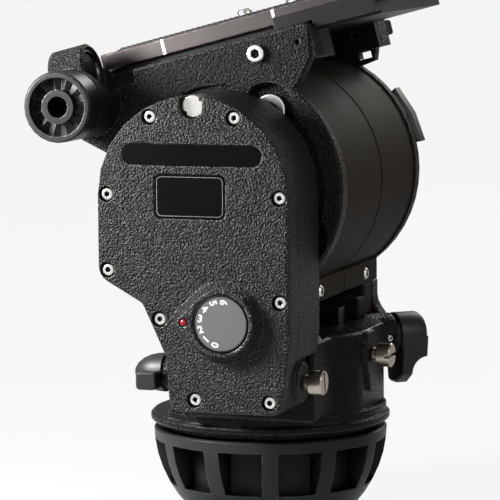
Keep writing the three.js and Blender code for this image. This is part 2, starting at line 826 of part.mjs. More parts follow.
// Filler plug: a disc in the slot, seated on the housing, with two spanner notches in its rim
{
  let plug = disc(plug_radius, 0, cover_thickness - plug_sink, 0, bolt_sides);
  for (const deg of plug_notch_deg) {
    const [x, y] = polar(plug_radius, deg);
    plug = plug.subtract(disc(plug_notch, cover_thickness / 2, cover_thickness, 0, small_sides).translate([x, y, 0]));
  }
  place(pan_body, 'filler_plug', to_near(plug).translate([0, -cover_back_y, plug_height]), nickel);
}

// Dials: a black body with a thin rim, the face sheet let into it
function dial_body() {
  const floor = dial_depth - dial_face_sink - dial_sheet - fit_gap / 2;
  return turned([
    [0, 0], [dial_radius, 0], [dial_radius, dial_depth - dial_rim / 2], [dial_radius - dial_rim / 2, dial_depth],
    [dial_radius - dial_rim, dial_depth], [dial_radius - dial_rim, floor], [0, floor],
  ]);
}

function dial_sheet_body() {
  const top = dial_depth - dial_face_sink;
  return disc(dial_radius - dial_rim - fit_gap / 2, top - dial_sheet, top);
}

{
  const on_cover = (body) => to_near(body).translate([dial_x, dial_depth - bezel_top_y, dial_height]);
  place(pan_body, 'tilt_dial', on_cover(dial_body()), black_satin);
  place(pan_body, 'dial_face', on_cover(dial_sheet_body()), grey_face);
  const on_casting = (body) => to_back(body)
    .translate([dial_depth - pan_bezel_rise - casting_left, pan_dial_y, pan_dial_height]);
  place(pan_body, 'pan_dial', on_casting(dial_body()), black_satin);
  place(pan_body, 'pan_dial_face', on_casting(dial_sheet_body()), grey_face);
  const dot = disc(pointer_radius, fit_gap / 2, pointer_depth + fit_gap / 2, 0, small_sides);
  place(pan_body, 'dial_pointer',
    to_near(dot).translate([dial_x - pointer_reach, pointer_depth - bezel_top_y, dial_height]), red_paint);
}

// Drum -----------------------------------------------------------------------------------

// Each half is turned, with a chamfer at the seam, and joined to its feet
function drum_half(near, far, bolt_y) {
  const edges = near < 0 ? [drum_edge, 0] : [0, drum_edge];
  const round = disc_y(drum_radius, near, far, 0, tilt_axis_height, edges, round_sides);
  const feet = slab([
    [-foot_half, foot_bottom], [foot_half, foot_bottom], [foot_half, foot_ledge], [-foot_half, foot_ledge],
  ], near, far, foot_edge);
  let half = round.add(feet)
    .subtract(disc_y(axle_radius + run_gap, -everything, everything, 0, tilt_axis_height));
  const hole = disc(drum_bolt_radius + run_gap, foot_half - drum_bolt_head, foot_half + cut_overrun, 0, small_sides);
  for (const lay of [to_front, to_back]) {
    half = half.subtract(lay(hole).translate([0, bolt_y, drum_bolt_height]));
  }
  return half;
}
{
  const seam = fit_gap / 2;
  place(pan_body, 'drum_near', drum_half(-drum_near_face, drum_seam_y - seam, drum_bolt_near_y), brown_metal);
  place(pan_body, 'drum_far', drum_half(drum_seam_y + seam, drum_far_face, drum_bolt_far_y), brown_metal);
  const head = socket_head(drum_bolt_radius, drum_bolt_head, drum_bolt_socket)
    .translate([0, 0, foot_half - drum_bolt_head + fit_gap]);
  [[to_front, drum_bolt_near_y], [to_front, drum_bolt_far_y], [to_back, drum_bolt_near_y], [to_back, drum_bolt_far_y]]
    .forEach(([lay, y], i) => {
      place(pan_body, `drum_bolt_${i + 1}`, lay(head).translate([0, y, drum_bolt_height]), nickel);
    });
}

// Blocks between the casting and the drum
{
  const seat = casting_top + fit_gap;
  const saddle_far_y = far_arm_near_y - fit_gap;
  const saddle = bar([
    [saddle_near_y, seat], [saddle_far_y, seat], [saddle_far_y, arm_top],
    [saddle_step_y, arm_top], [saddle_step_y, seat + saddle_step_height], [saddle_near_y, seat + saddle_step_height],
  ], -foot_half, foot_half, saddle_edge).subtract(drum_seat).subtract(pan_brake_collar(fit_gap));
  place(pan_body, 'drum_saddle', saddle, brown_metal);
  const section = rounded_box(brake_block_y + brake_block_depth / 2, seat + brake_block_height / 2,
    brake_block_depth / 2, brake_block_height / 2, brake_block_edge);
  place(pan_body, 'brake_block', bar(section, -brake_block_back, brake_block_front), black_satin);
}

// Slotted shoulder screws: thin neck, thick head with a slot
function shoulder_screw(slot_deg) {
  const end = shoulder_neck + shoulder_length;
  const screw = turned([
    [0, 0], [shoulder_neck_radius, 0], [shoulder_neck_radius, shoulder_neck], [shoulder_radius, shoulder_neck],
    [shoulder_radius, end - shoulder_chamfer], [shoulder_radius - shoulder_chamfer, end], [0, end],
  ], bolt_sides);
  const slot = block(-everything, everything, -shoulder_slot / 2, shoulder_slot / 2,
    end - shoulder_slot_depth, end + cut_overrun);
  return to_front(screw.subtract(slot.rotate([0, 0, slot_deg])));
}
place(pan_body, 'shoulder_screw_near', shoulder_screw(8)
  .translate([arch_floor_x + arch_boss_height + fit_gap, near_shoulder_y, near_shoulder_height]), nickel);
place(pan_body, 'shoulder_screw_far', shoulder_screw(90)
  .translate([casting_front + shield_proud + fit_gap, far_shoulder_y, far_shoulder_height]), nickel);

// Pan brake knob: turned hub with a rounded end, and a flat tail that hangs down from it
{
  const start = collar_end + fit_gap;
  const hub_start = start + pan_knob_neck;
  const end = start + pan_knob_length;
  const round_end = arc(pan_knob_radius - pan_knob_round, end - pan_knob_round, pan_knob_round, 0, 90, 3);
  const hub = to_front(turned([
    [0, start], [pan_knob_neck_radius, start], [pan_knob_neck_radius, hub_start], [pan_knob_radius, hub_start],
    ...round_end, [0, end],
  ]));
  const tail = bar(outline([
    [tail_cut - tail_tip_half, -tail_reach, tail_round], [tail_tip_half, -tail_reach, tail_round],
    [pan_knob_radius, 0, 0], [-pan_knob_radius, 0, 0], [-tail_tip_half - tail_round, tail_cut - tail_reach, tail_round],
  ]), hub_start, end, tail_edge);
  const tail_face = hub_start + tail_thickness;
  const hub_bottom = tail_edge - pan_knob_radius;
  const web = slab([
    [start, -everything], [tail_face, -everything],
    ...arc(tail_face + tail_fillet, hub_bottom - tail_fillet, tail_fillet, 180, 90),
    [tail_face + tail_fillet, 0], [start, 0],
  ], -everything, everything);
  place(pan_brake, 'pan_brake_knob', hub.add(tail.intersect(web)), black_satin);
  const screw = socket_head(set_screw_radius, set_screw_length, set_screw_socket);
  place(pan_brake, 'collar_set_screw',
    to_near(screw).translate([set_screw_station, set_screw_length - collar_radius, 0]), nickel);
}

// Tilt brake knob: dome on the boss, wing toward the near side
{
  const start = casting_left + tilt_boss_proud + fit_gap;
  const dome = dome_shares.map(([r, h]) => [tilt_knob_radius * r, start + tilt_knob_length * h]);
  const knob = to_back(turned([[0, start], ...dome]));
  const wing = slab(outline([
    [-start - wing_length, -wing_drop, wing_corner], [-start, -wing_drop, wing_corner],
    [-start, wing_rise, wing_corner], [-start - wing_length, wing_rise, wing_corner],
  ]), -wing_reach, 0, wing_edge);
  place(pan_body, 'tilt_brake_knob', knob.add(wing).translate([0, tilt_brake_y, tilt_brake_height]), black_satin);
}

// Tilt frame -----------------------------------------------------------------------------

place(tilt_frame, 'tilt_axle',
  disc_y(axle_radius, axle_pocket_wall + run_gap - housing_front_y, cheek_far_face - fit_gap), grey_metal);

// Both cheeks: a disc with the axle bore, a plate with the thick bar along its top, and a rear
// boss for the handle with a capped tube across it
function cheek(face, inner, front_u, plate_corners, mirror) {
  const side = mirror ? -1 : 1;
  const y = (near, far) => (mirror ? [-far, -near] : [near, far]);
  const along = (body) => to_front(body).translate([0, -tube_y * side, tube_w]);
  const edges = mirror ? [cheek_edge, 0] : [0, cheek_edge];
  const plate = faced_slab(outline(plate_corners), ...y(-face, -inner), cheek_edge, 1, mirror);
  const round = disc_y(cheek_radius, ...y(-face, -inner), 0, 0, edges, round_sides);
  const thick = slab([
    [-bar_rear_u, bar_bottom_w], [front_u, bar_bottom_w], [front_u, bar_top_w - bar_chamfer],
    [front_u - bar_chamfer, bar_top_w], [-bar_rear_u, bar_top_w],
  ], ...y(cheek_edge - face, -bar_inner))
    .subtract(disc_y(drum_radius + drum_clearance, ...y(-inner, 0), 0, 0, 0, round_sides));
  const rear_boss = disc_y(boss_radius, ...y(-boss_end, -inner), -boss_u, boss_w, edges);
  const spotface = along(disc(tube_radius, -tube_front_u, boss_radius - tube_front_u));
  const tube = along(disc(tube_radius, -tube_rear_u, -tube_front_u, tube_edge));
  const bore = along(turned([
    [0, -tube_front_u - tube_bore_depth], [tube_bore, -tube_front_u - tube_bore_depth],
    [tube_bore, -tube_front_u - tube_edge], [tube_bore + tube_edge, -tube_front_u],
    [tube_bore + tube_edge, cut_overrun - tube_front_u], [0, cut_overrun - tube_front_u]]));
  return plate.add(round).add(thick).add(rear_boss).subtract(spotface).add(tube).subtract(bore)
    .subtract(disc_y(axle_radius + fit_gap, -everything, everything));
}

// A rosette drawn up the Z axis: one ring of sections whose floor between rim and hub rises
// and falls from section to section, as radial teeth
function rosette() {
  const height = rosette_end - boss_end - fit_gap;
  const inside = boss_radius - rosette_rim;
  const sections = [];
  for (let k = 0; k < 2 * rosette_teeth; k += 1) {
    const floor = height - rosette_sink + (k % 2 ? 0 : rosette_tooth);
    const profile = [
      [rosette_bore, 0], [boss_radius, 0], [boss_radius, height - rosette_edge], [boss_radius - rosette_edge, height],
      [inside, height], [inside, floor], [rosette_hub, floor], [rosette_hub, height - rosette_edge],
      [rosette_bore, height - rosette_edge]];
    sections.push(profile.map(([radius, z]) => [...polar(radius, 180 * k / rosette_teeth), z]));
  }
  return loft(sections, true);
}

const cheek_rear = [
  [-bar_rear_u, bar_top_w, 0],
  [-boss_u, boss_w, 0],
  [-boss_u - boss_radius / 2, boss_w - boss_radius, 0],
  [-nape_u, nape_w, 0],
];
{
  let near = cheek(cheek_near_face, cheek_near_inner, bar_front_u, [
    [bar_front_u, bar_top_w - bar_chamfer, 0],
    [bar_front_u - bar_chamfer, bar_top_w, 0],
    ...cheek_rear,
    [throat_u, throat_w, throat_corner],
    [chin_u, chin_w, chin_corner],
  ], false);
  near = near.subtract(disc_y(recess_radius, -everything, recess_depth - cheek_near_face, 0, 0, 0, round_sides));
  for (const [u, w] of cheek_bolt_deg.map((deg) => polar(bolt_circle, deg))) {
    near = near.subtract(disc_y(lobe_radius, -everything, lobe_depth - cheek_near_face, u, w));
  }
  near = near.subtract(disc_y(pin_hole_radius, -everything, pin_hole_depth - cheek_near_face,
    pin_hole_u, pin_hole_w, 0, small_sides));
  place(tilt_frame, 'cheek_near', near, black_casting);

  const far = cheek(cheek_far_face, cheek_far_inner, far_front_u, [
    [far_front_u, bar_top_w - bar_chamfer, 0],
    [far_front_u - bar_chamfer, bar_top_w, 0],
    ...cheek_rear,
    [far_throat_u, far_throat_w, 0],
    [far_chin_u, far_chin_w, 0],
    [far_lug_u, far_lug_w, 0],
    [far_step_u, far_lug_w, 0],
    [far_step_u, far_step_w, 0],
    [far_front_u, far_step_w, 0],
  ], true);
  const window = block(window_rear_u, window_front_u, 0, everything, window_bottom_w, window_top_w);
  place(tilt_frame, 'cheek_far', far.subtract(window), black_casting);
}

cheek_bolt_deg.forEach((deg, i) => {
  const [u, w] = polar(bolt_circle, deg);
  const head = socket_head(cheek_bolt_radius, cheek_bolt_head, cheek_bolt_socket, bolt_sides);
  place(tilt_frame, `cheek_bolt_${i + 1}`,
    to_near(head).translate([u, lobe_depth - fit_gap - cheek_near_face, w]), nickel);
});

{
  const head = socket_head(cap_screw_radius, cap_screw_head, cap_screw_socket, bolt_sides);
  place(tilt_frame, 'cap_screw_near',
    to_near(head).translate([cap_screw_u, -cheek_near_face - fit_gap, cap_screw_w]), nickel);
  place(tilt_frame, 'cap_screw_far',
    to_far(head).translate([-cap_screw_u, cheek_far_face + fit_gap, cap_screw_w]), nickel);
  place(tilt_frame, 'rosette_near', to_near(rosette()).translate([-boss_u, -boss_end - fit_gap, boss_w]), black_satin);
  place(tilt_frame, 'rosette_far', to_far(rosette()).translate([-boss_u, boss_end + fit_gap, boss_w]), black_satin);

  const depth = tube_bore_depth - fit_gap - cap_sink;
  const cap_radius = tube_bore - fit_gap;
  const cap = to_front(turned([
    [0, 0], [cap_radius, 0], [cap_radius, depth], [cap_radius - cap_dish, depth],
    [cap_radius - 2 * cap_dish, depth - cap_dish], [0, depth - cap_dish]]));
  [['boss_cap_near', -tube_y], ['boss_cap_far', tube_y]].forEach(([name, y]) => {
    place(tilt_frame, name, cap.translate([fit_gap - tube_front_u - tube_bore_depth, y, tube_w]), black_gloss);
  });
}

// Platform guide: dovetail with a channel for the screw heads, flanges down to the drum
{
  const dovetail_head = dovetail_foot + dovetail_lean;
  const half_section = [
    [guide_half, guide_bottom_w], [guide_half, guide_top_w], [dovetail_foot, guide_top_w],
    [dovetail_head, dovetail_top_w], [channel_half, dovetail_top_w], [channel_half, channel_floor_w]];
  const section = [...half_section, ...half_section.map(([y, w]) => [-y, w]).reverse()];
  const flange_top_w = guide_bottom_w + cheek_edge;
  const flange = [
    [flange_rear_u, flange_bottom_w], [flange_front_u, flange_bottom_w],
    [flange_front_u, flange_top_w], [flange_rear_u, flange_top_w]];
  const clearance = disc_y(drum_radius + drum_clearance, -everything, everything, 0, 0, 0, round_sides);
  const near = slab(flange, -guide_half, near_flange - guide_half).subtract(clearance);
  const far = slab(flange, guide_half - far_flange, guide_half).subtract(clearance)
    .subtract(disc_y(far_flange_bore, 0, everything, far_flange_bore_u, far_flange_bore_w, 0, small_sides));
  place(tilt_frame, 'platform_guide', bar(section, -guide_rear_u, guide_front_u).add(near).add(far), black_casting);

  // The clamp rail: a bar beside the guide with a lip that hooks under the plate's edge
  const lip_inner = guide_half + fit_gap;
  const rail = bar([
    [-rail_outer, rail_bottom_w], [-rail_inner, rail_bottom_w], [-rail_inner, rail_top_w], [-rail_outer, rail_top_w],
  ], rail_rear_u, guide_front_u, rail_edge);
  const lip = bar([
    [-rail_outer, rail_bottom_w - rail_lip], [-lip_inner, rail_bottom_w - rail_lip],
    [-lip_inner, rail_bottom_w + rail_edge], [-rail_inner - rail_edge, rail_bottom_w + 2 * rail_edge],
    [-rail_outer, rail_bottom_w + 2 * rail_edge],
  ], bar_front_u + fit_gap, guide_front_u);
  place(tilt_frame, 'clamp_rail', rail.add(lip), black_satin);
}

// Balance wheel: thick disc with a hollow face and one raised grip at its rim
{
  const start = cheek_far_face + run_gap;
  const end = start + wheel_thickness;
  const round = disc_y(wheel_radius, start, end, 0, 0, wheel_edge, round_sides)
    .subtract(disc_y(wheel_hollow_radius, end - wheel_hollow_depth, everything));
  const sector = [
    ...arc(0, 0, grip_radius, grip_start_deg, grip_end_deg),
    ...arc(0, 0, grip_inner, grip_end_deg, grip_start_deg)];
  place(tilt_frame, 'balance_wheel', round.add(slab(sector, start + wheel_edge / 2, end + grip_rise, wheel_edge)),
    black_satin);
}

// Lock lever: a tapered finger on an upright pivot beside the far cheek
{
  const lean = Math.acos((lever_root - lever_tip) / lever_reach) / rad;
  const plan = [
    ...arc(0, 0, lever_root, lean, 360 - lean),
    ...arc(lever_reach, 0, lever_tip, -lean, lean)];
  place(tilt_frame, 'lock_lever',
    prism(plan, lever_bottom_w, lever_bottom_w + lever_height, lever_edge).translate([lever_pivot_u, lever_y, 0]), black_satin);
}

// Camera plate ---------------------------------------------------------------------------

// Bevelled plate with a dovetail groove below and a long slot for the camera screws
{
  const body = prism(outline([
    [-plate_rear_u, -plate_half, plate_corner], [plate_front_u, -plate_half, plate_corner],
    [plate_front_u, plate_half, plate_corner], [-plate_rear_u, plate_half, plate_corner],
  ]), plate_bottom_w, plate_top_w, plate_edge);
  const foot = dovetail_foot + fit_gap;
  const head = foot + dovetail_lean;
  const overrun_lean = cut_overrun * dovetail_lean / dovetail_height;
  const groove = bar([
    [overrun_lean - foot, plate_bottom_w - cut_overrun], [foot - overrun_lean, plate_bottom_w - cut_overrun],
    [head, plate_ceiling_w], [-head, plate_ceiling_w]], -everything, everything);
  const slot = prism(rounded_box((slot_front_u - slot_rear_u) / 2, 0, (slot_front_u + slot_rear_u) / 2,
    slot_half, slot_half - fit_gap), plate_bottom_w, plate_top_w + cut_overrun);
  place(tilt_frame, 'camera_plate', body.subtract(groove).subtract(slot), grey_metal);

  [[large_screw_u, large_screw_radius], [small_screw_u, small_screw_radius]].forEach(([u, radius], i) => {
    const seat = plate_ceiling_w - fit_gap;
    const top = plate_top_w + camera_screw_proud;
    const screw = turned([
      [0, seat - camera_screw_head], [camera_screw_head_radius, seat - camera_screw_head],
      [camera_screw_head_radius, seat], [radius, seat], [radius, top - camera_screw_chamfer],
      [radius - camera_screw_chamfer, top], [0, top],
    ], bolt_sides);
    place(tilt_frame, `camera_screw_${i + 1}`, screw.translate([u, 0, 0]), nickel);
  });

  const pad_near = slot_half + pad_slot_gap;
  const pad_far = plate_half - pad_inset;
  const pad_half = (plate_front_u + plate_rear_u) / 2 - pad_inset;
  const pad = prism(rounded_box((plate_front_u - plate_rear_u) / 2, 0, pad_half, (pad_far - pad_near) / 2, pad_corner),
    plate_top_w + fit_gap / 2, plate_top_w + pad_sheet);
  place(tilt_frame, 'pad_near', pad.translate([0, -(pad_near + pad_far) / 2, 0]), rubber);
  place(tilt_frame, 'pad_far', pad.translate([0, (pad_near + pad_far) / 2, 0]), rubber);
}

export default part;
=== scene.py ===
import math

import bpy
from mathutils import Matrix, Vector


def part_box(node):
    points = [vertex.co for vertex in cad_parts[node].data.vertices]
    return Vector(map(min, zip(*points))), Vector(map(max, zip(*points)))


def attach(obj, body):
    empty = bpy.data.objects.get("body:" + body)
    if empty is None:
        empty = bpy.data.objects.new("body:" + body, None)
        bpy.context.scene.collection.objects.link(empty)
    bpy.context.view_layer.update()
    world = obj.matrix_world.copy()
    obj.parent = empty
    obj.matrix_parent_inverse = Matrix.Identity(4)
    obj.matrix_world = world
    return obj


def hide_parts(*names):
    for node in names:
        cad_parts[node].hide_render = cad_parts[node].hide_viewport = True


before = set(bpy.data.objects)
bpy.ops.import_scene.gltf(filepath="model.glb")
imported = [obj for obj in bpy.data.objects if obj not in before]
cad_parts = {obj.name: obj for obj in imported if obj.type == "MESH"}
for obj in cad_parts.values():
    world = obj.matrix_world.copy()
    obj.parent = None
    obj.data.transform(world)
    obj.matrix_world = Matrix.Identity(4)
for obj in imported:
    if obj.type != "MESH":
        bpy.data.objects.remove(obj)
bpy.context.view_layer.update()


# Studio
# A plain pale floor under a pale sky, with a small lamp close on the left, two weaker
# ones on the near and the front side, and a large one behind.
# The camera looks at the near side, a little from the front and from above.
turn, rise, lean = math.radians(19.4), math.radians(6.6), math.radians(-0.5)
camera_distance = 1.375
image_width = 500
focal_pixels = 3211
film_width = 36
aim_height, aim_left, aim_up = 0.098, 0.0082, 0.0148
lamp_aim = Vector((0, 0, 0.11))
back = Vector((math.sin(turn) * math.cos(rise), -math.cos(turn) * math.cos(rise), math.sin(rise)))
right = Vector((math.cos(turn), math.sin(turn), 0))
up = back.cross(right)
target = Vector((0, 0, aim_height)) - right * aim_left + up * aim_up
side = right * math.cos(lean) + up * math.sin(lean)
top = up * math.cos(lean) - right * math.sin(lean)
camera = bpy.data.objects.new("camera", bpy.data.cameras.new("camera"))
bpy.context.scene.collection.objects.link(camera)
facing_camera = Matrix((side, top, back)).transposed().to_4x4()
camera.matrix_world = Matrix.Translation(target + back * camera_distance) @ facing_camera
camera.data.lens = film_width * focal_pixels / image_width
bpy.context.scene.camera = camera
bpy.context.scene.view_settings.view_transform = "Standard"

for name, place, size, power, colour in (
    ("left_lamp", (-0.22, -0.2, 0.235), 0.09, 3.3, (0.97, 0.985, 1)),
    ("near_lamp", (-0.75, -1.0, 0.6), 0.3, 0.35, (0.98, 0.99, 1)),
    ("front_lamp", (0.9, -0.3, 0.6), 0.4, 1.4, (1, 0.92, 0.82)),
    ("rear_lamp", (0.2, 1.3, 0.8), 0.7, 7, (1, 0.97, 0.92)),
):
    light = bpy.data.lights.new(name, "AREA")
    light.size, light.energy, light.color = size, power, colour
    lamp = bpy.data.objects.new(name, light)
    bpy.context.scene.collection.objects.link(lamp)
    lamp.location = place
    lamp.rotation_euler = (lamp_aim - lamp.location).to_track_quat("-Z", "Y").to_euler()
    lamp.visible_camera = False


def seen_rays(tree, path, place, start, end, near, far):
    """One where the camera looks straight or through glass, and in a mirror from near to far along Y."""
    parted, shade = tree.nodes.new("ShaderNodeSeparateXYZ"), tree.nodes.new("ShaderNodeMapRange")
    shade.inputs["From Min"].default_value, shade.inputs["From Max"].default_value = start, end
    shade.inputs["To Min"].default_value, shade.inputs["To Max"].default_value = near, far
    mirrored = tree.nodes.new("ShaderNodeMath")
    mirrored.operation = "MULTIPLY_ADD"
    tree.links.new(place, parted.inputs[0])
    tree.links.new(parted.outputs["Y"], shade.inputs["Value"])
    tree.links.new(shade.outputs[0], mirrored.inputs[0])
    tree.links.new(path.outputs["Is Glossy Ray"], mirrored.inputs[1])
    tree.links.new(path.outputs["Is Camera Ray"], mirrored.inputs[2])
    any_ray = tree.nodes.new("ShaderNodeMath")
    any_ray.operation = "MAXIMUM"
    tree.links.new(mirrored.outputs[0], any_ray.inputs[0])
    tree.links.new(path.outputs["Is Transmission Ray"], any_ray.inputs[1])
    return any_ray.outputs[0]


sky = bpy.data.worlds.new("sky")
sky.use_nodes = True
bpy.context.scene.world = sky
sky_nodes, sky_links = sky.node_tree.nodes, sky.node_tree.links
sky_nodes.clear()
plain, shown = (sky_nodes.new("ShaderNodeBackground") for part in range(2))
plain.inputs["Color"].default_value = (0.93, 0.95, 1, 1)
plain.inputs["Strength"].default_value = 0.06
shown.inputs["Color"].default_value = (1, 1, 1, 1)
mixed, world_out = sky_nodes.new("ShaderNodeMixShader"), sky_nodes.new("ShaderNodeOutputWorld")
sky_path, looking = sky_nodes.new("ShaderNodeLightPath"), sky_nodes.new("ShaderNodeTexCoord")
sky_mirror = (-0.5, 0.3, 0.7, 0.1)
sky_seen = seen_rays(sky.node_tree, sky_path, looking.outputs["Generated"], *sky_mirror)
sky_links.new(sky_seen, mixed.inputs[0])
sky_links.new(plain.outputs[0], mixed.inputs[1])
sky_links.new(shown.outputs[0], mixed.inputs[2])
sky_links.new(mixed.outputs[0], world_out.inputs[0])

floor_size = 60
bpy.ops.object.select_all(action="DESELECT")
bpy.ops.mesh.primitive_grid_add(x_subdivisions=4, y_subdivisions=4, size=floor_size)
floor = bpy.context.object
floor.name = "floor"
paper = bpy.data.materials.new("floor_paper")
paper.use_nodes = True
paper_nodes, paper_links = paper.node_tree.nodes, paper.node_tree.links
paper_nodes["Principled BSDF"].inputs["Base Color"].default_value = (0.5, 0.5, 0.5, 1)
paper_nodes["Principled BSDF"].inputs["Roughness"].default_value = 0.9
glow, blend_in = paper_nodes.new("ShaderNodeEmission"), paper_nodes.new("ShaderNodeMixShader")
share = paper_nodes.new("ShaderNodeMath")
share.operation = "MULTIPLY"
share.inputs[1].default_value = 0.9
paper_path, spot = paper_nodes.new("ShaderNodeLightPath"), paper_nodes.new("ShaderNodeTexCoord")
paper_mirror = (-0.5, 1.1, 0.75, 0.05)
paper_seen = seen_rays(paper.node_tree, paper_path, spot.outputs["Object"], *paper_mirror)
paper_links.new(paper_seen, share.inputs[0])
paper_links.new(share.outputs[0], blend_in.inputs[0])
paper_links.new(paper_nodes["Principled BSDF"].outputs[0], blend_in.inputs[1])
paper_links.new(glow.outputs[0], blend_in.inputs[2])
paper_links.new(blend_in.outputs[0], paper_nodes["Material Output"].inputs["Surface"])
floor.data.materials.append(paper)


# Ball base
# A half ball turned in aluminium in one piece with the pan spindle, with twelve milled
# pockets between upright ribs. It is anodised a satin black.
def new_effect(name, inputs, outputs):
    """An empty shader group with number inputs and the named outputs."""
    tree = bpy.data.node_groups.new(name, "ShaderNodeTree")
    for socket, value in inputs.items():
        number = tree.interface.new_socket(socket, in_out="INPUT", socket_type="NodeSocketFloat")
        number.default_value = value
    for socket, kind in outputs.items():
        tree.interface.new_socket(socket, in_out="OUTPUT", socket_type=kind)
    return tree, tree.nodes.new("NodeGroupInput"), tree.nodes.new("NodeGroupOutput")


def math_step(tree, operation, first, second, clamp=False):
    """A maths node fed by sockets or plain numbers."""
    step = tree.nodes.new("ShaderNodeMath")
    step.operation, step.use_clamp = operation, clamp
    for socket, value in zip(step.inputs, (first, second)):
        if isinstance(value, (int, float)):
            socket.default_value = value
        else:
            tree.links.new(value, socket)
    return step.outputs[0]


def noise_step(tree, scale, detail=3, rough=0.55, place=None):
    """A noise pattern over the object's own place."""
    if place is None:
        place = tree.nodes.new("ShaderNodeTexCoord").outputs["Object"]
    step = tree.nodes.new("ShaderNodeTexNoise")
    tree.links.new(place, step.inputs["Vector"])
    if isinstance(scale, (int, float)):
        step.inputs["Scale"].default_value = scale
    else:
        tree.links.new(scale, step.inputs["Scale"])
    step.inputs["Detail"].default_value = detail
    step.inputs["Roughness"].default_value = rough
    return step.outputs["Fac"]


# Rounded edges: a soft normal at every edge, and a broken mask of wear along it, which the wrinkle paint
# also uses for painted highlight.
edges, into, out = new_effect(
    "rounded_edges", {"Radius": 0.0005, "Wear": 0.5},
    {"Normal": "NodeSocketVector", "Mask": "NodeSocketFloat", "Near": "NodeSocketFloat"},
)
chip_scale, chip_limit, patch_scale = 420, 0.47, 60
wear_gain, near_gain = 7.0, 9.0
rounding = edges.nodes.new("ShaderNodeBevel")
rounding.samples = 6
edges.links.new(into.outputs["Radius"], rounding.inputs["Radius"])
flat = edges.nodes.new("ShaderNodeNewGeometry")
facing = edges.nodes.new("ShaderNodeVectorMath")
facing.operation = "DOT_PRODUCT"
edges.links.new(rounding.outputs["Normal"], facing.inputs[0])
edges.links.new(flat.outputs["Normal"], facing.inputs[1])
bend = math_step(edges, "SUBTRACT", 1.0, facing.outputs["Value"])
chips = math_step(edges, "GREATER_THAN", noise_step(edges, chip_scale, 4), chip_limit)
soft = math_step(edges, "ADD", noise_step(edges, patch_scale, 2), 0.5)
strong = math_step(edges, "MULTIPLY", math_step(edges, "MULTIPLY", bend, wear_gain), chips)
strong = math_step(edges, "MULTIPLY", strong, soft)
edges.links.new(rounding.outputs["Normal"], out.inputs["Normal"])
edges.links.new(math_step(edges, "MULTIPLY", bend, near_gain, True), out.inputs["Near"])
edges.links.new(math_step(edges, "MULTIPLY", strong, into.outputs["Wear"], True), out.inputs["Mask"])

# Grain: a fine height and an uneven tone for turned, moulded and anodised surfaces.
grain, into, out = new_effect(
    "fine_grain", {"Scale": 1500.0}, {"Height": "NodeSocketFloat", "Tone": "NodeSocketFloat"}
)
tone_scale = 45
grain.links.new(noise_step(grain, into.outputs["Scale"], 3, 0.6), out.inputs["Height"])
grain.links.new(noise_step(grain, tone_scale, 4, 0.6), out.inputs["Tone"])

# Painted shade: a dark mask in slots, sockets and corners, where shade falls.
painted_shade, into, out = new_effect("corner_painted_shade", {"Reach": 0.0008}, {"Mask": "NodeSocketFloat"})
painted_shade_gain = 1.9
hollow = painted_shade.nodes.new("ShaderNodeAmbientOcclusion")
hollow.samples = 6
painted_shade.links.new(into.outputs["Reach"], hollow.inputs["Distance"])
shut = math_step(painted_shade, "SUBTRACT", 1.0, hollow.outputs["AO"])
painted_shade.links.new(math_step(painted_shade, "MULTIPLY", shut, painted_shade_gain, True), out.inputs["Mask"])

# Dust: a pale film that lies on what faces up, in uneven patches.
dust, into, out = new_effect("settled_dust", {"Amount": 0.1}, {"Mask": "NodeSocketFloat"})
dust_scale = 130
way = dust.nodes.new("ShaderNodeNewGeometry")
split = dust.nodes.new("ShaderNodeSeparateXYZ")
dust.links.new(way.outputs["Normal"], split.inputs[0])
upward = math_step(dust, "MAXIMUM", split.outputs["Z"], 0.0)
lying = math_step(dust, "MULTIPLY", upward, noise_step(dust, dust_scale, 5, 0.7))
dust.links.new(math_step(dust, "MULTIPLY", lying, into.outputs["Amount"], True), out.inputs["Mask"])


def placed_group(tree, effect, **values):
    """The shared effect, placed in a material with its own values."""
    step = tree.nodes.new("ShaderNodeGroup")
    step.node_tree = effect
    for socket, value in values.items():
        step.inputs[socket].default_value = value
    return step


def mixed_colour(tree, mask, first, second):
    """Two colours or sockets mixed by a mask."""
    step = tree.nodes.new("ShaderNodeMix")
    step.data_type = "RGBA"
    tree.links.new(mask, step.inputs["Factor"])
    for socket, value in ((step.inputs[6], first), (step.inputs[7], second)):
        if isinstance(value, tuple):
            socket.default_value = (*value, 1)
        else:
            tree.links.new(value, socket)
    return step.outputs[2]


def ranged(tree, value, low, high, first=0.0, last=1.0):
    """A value from first to last spread from low to high."""
    step = tree.nodes.new("ShaderNodeMapRange")
    step.inputs["From Min"].default_value, step.inputs["From Max"].default_value = first, last
    step.inputs["To Min"].default_value, step.inputs["To Max"].default_value = low, high
    tree.links.new(value, step.inputs["Value"])
    return step.outputs[0]


dust_colour = (0.45, 0.43, 0.4)
grain_depth = 0.0001
smoother, rougher = 0.07, 0.09


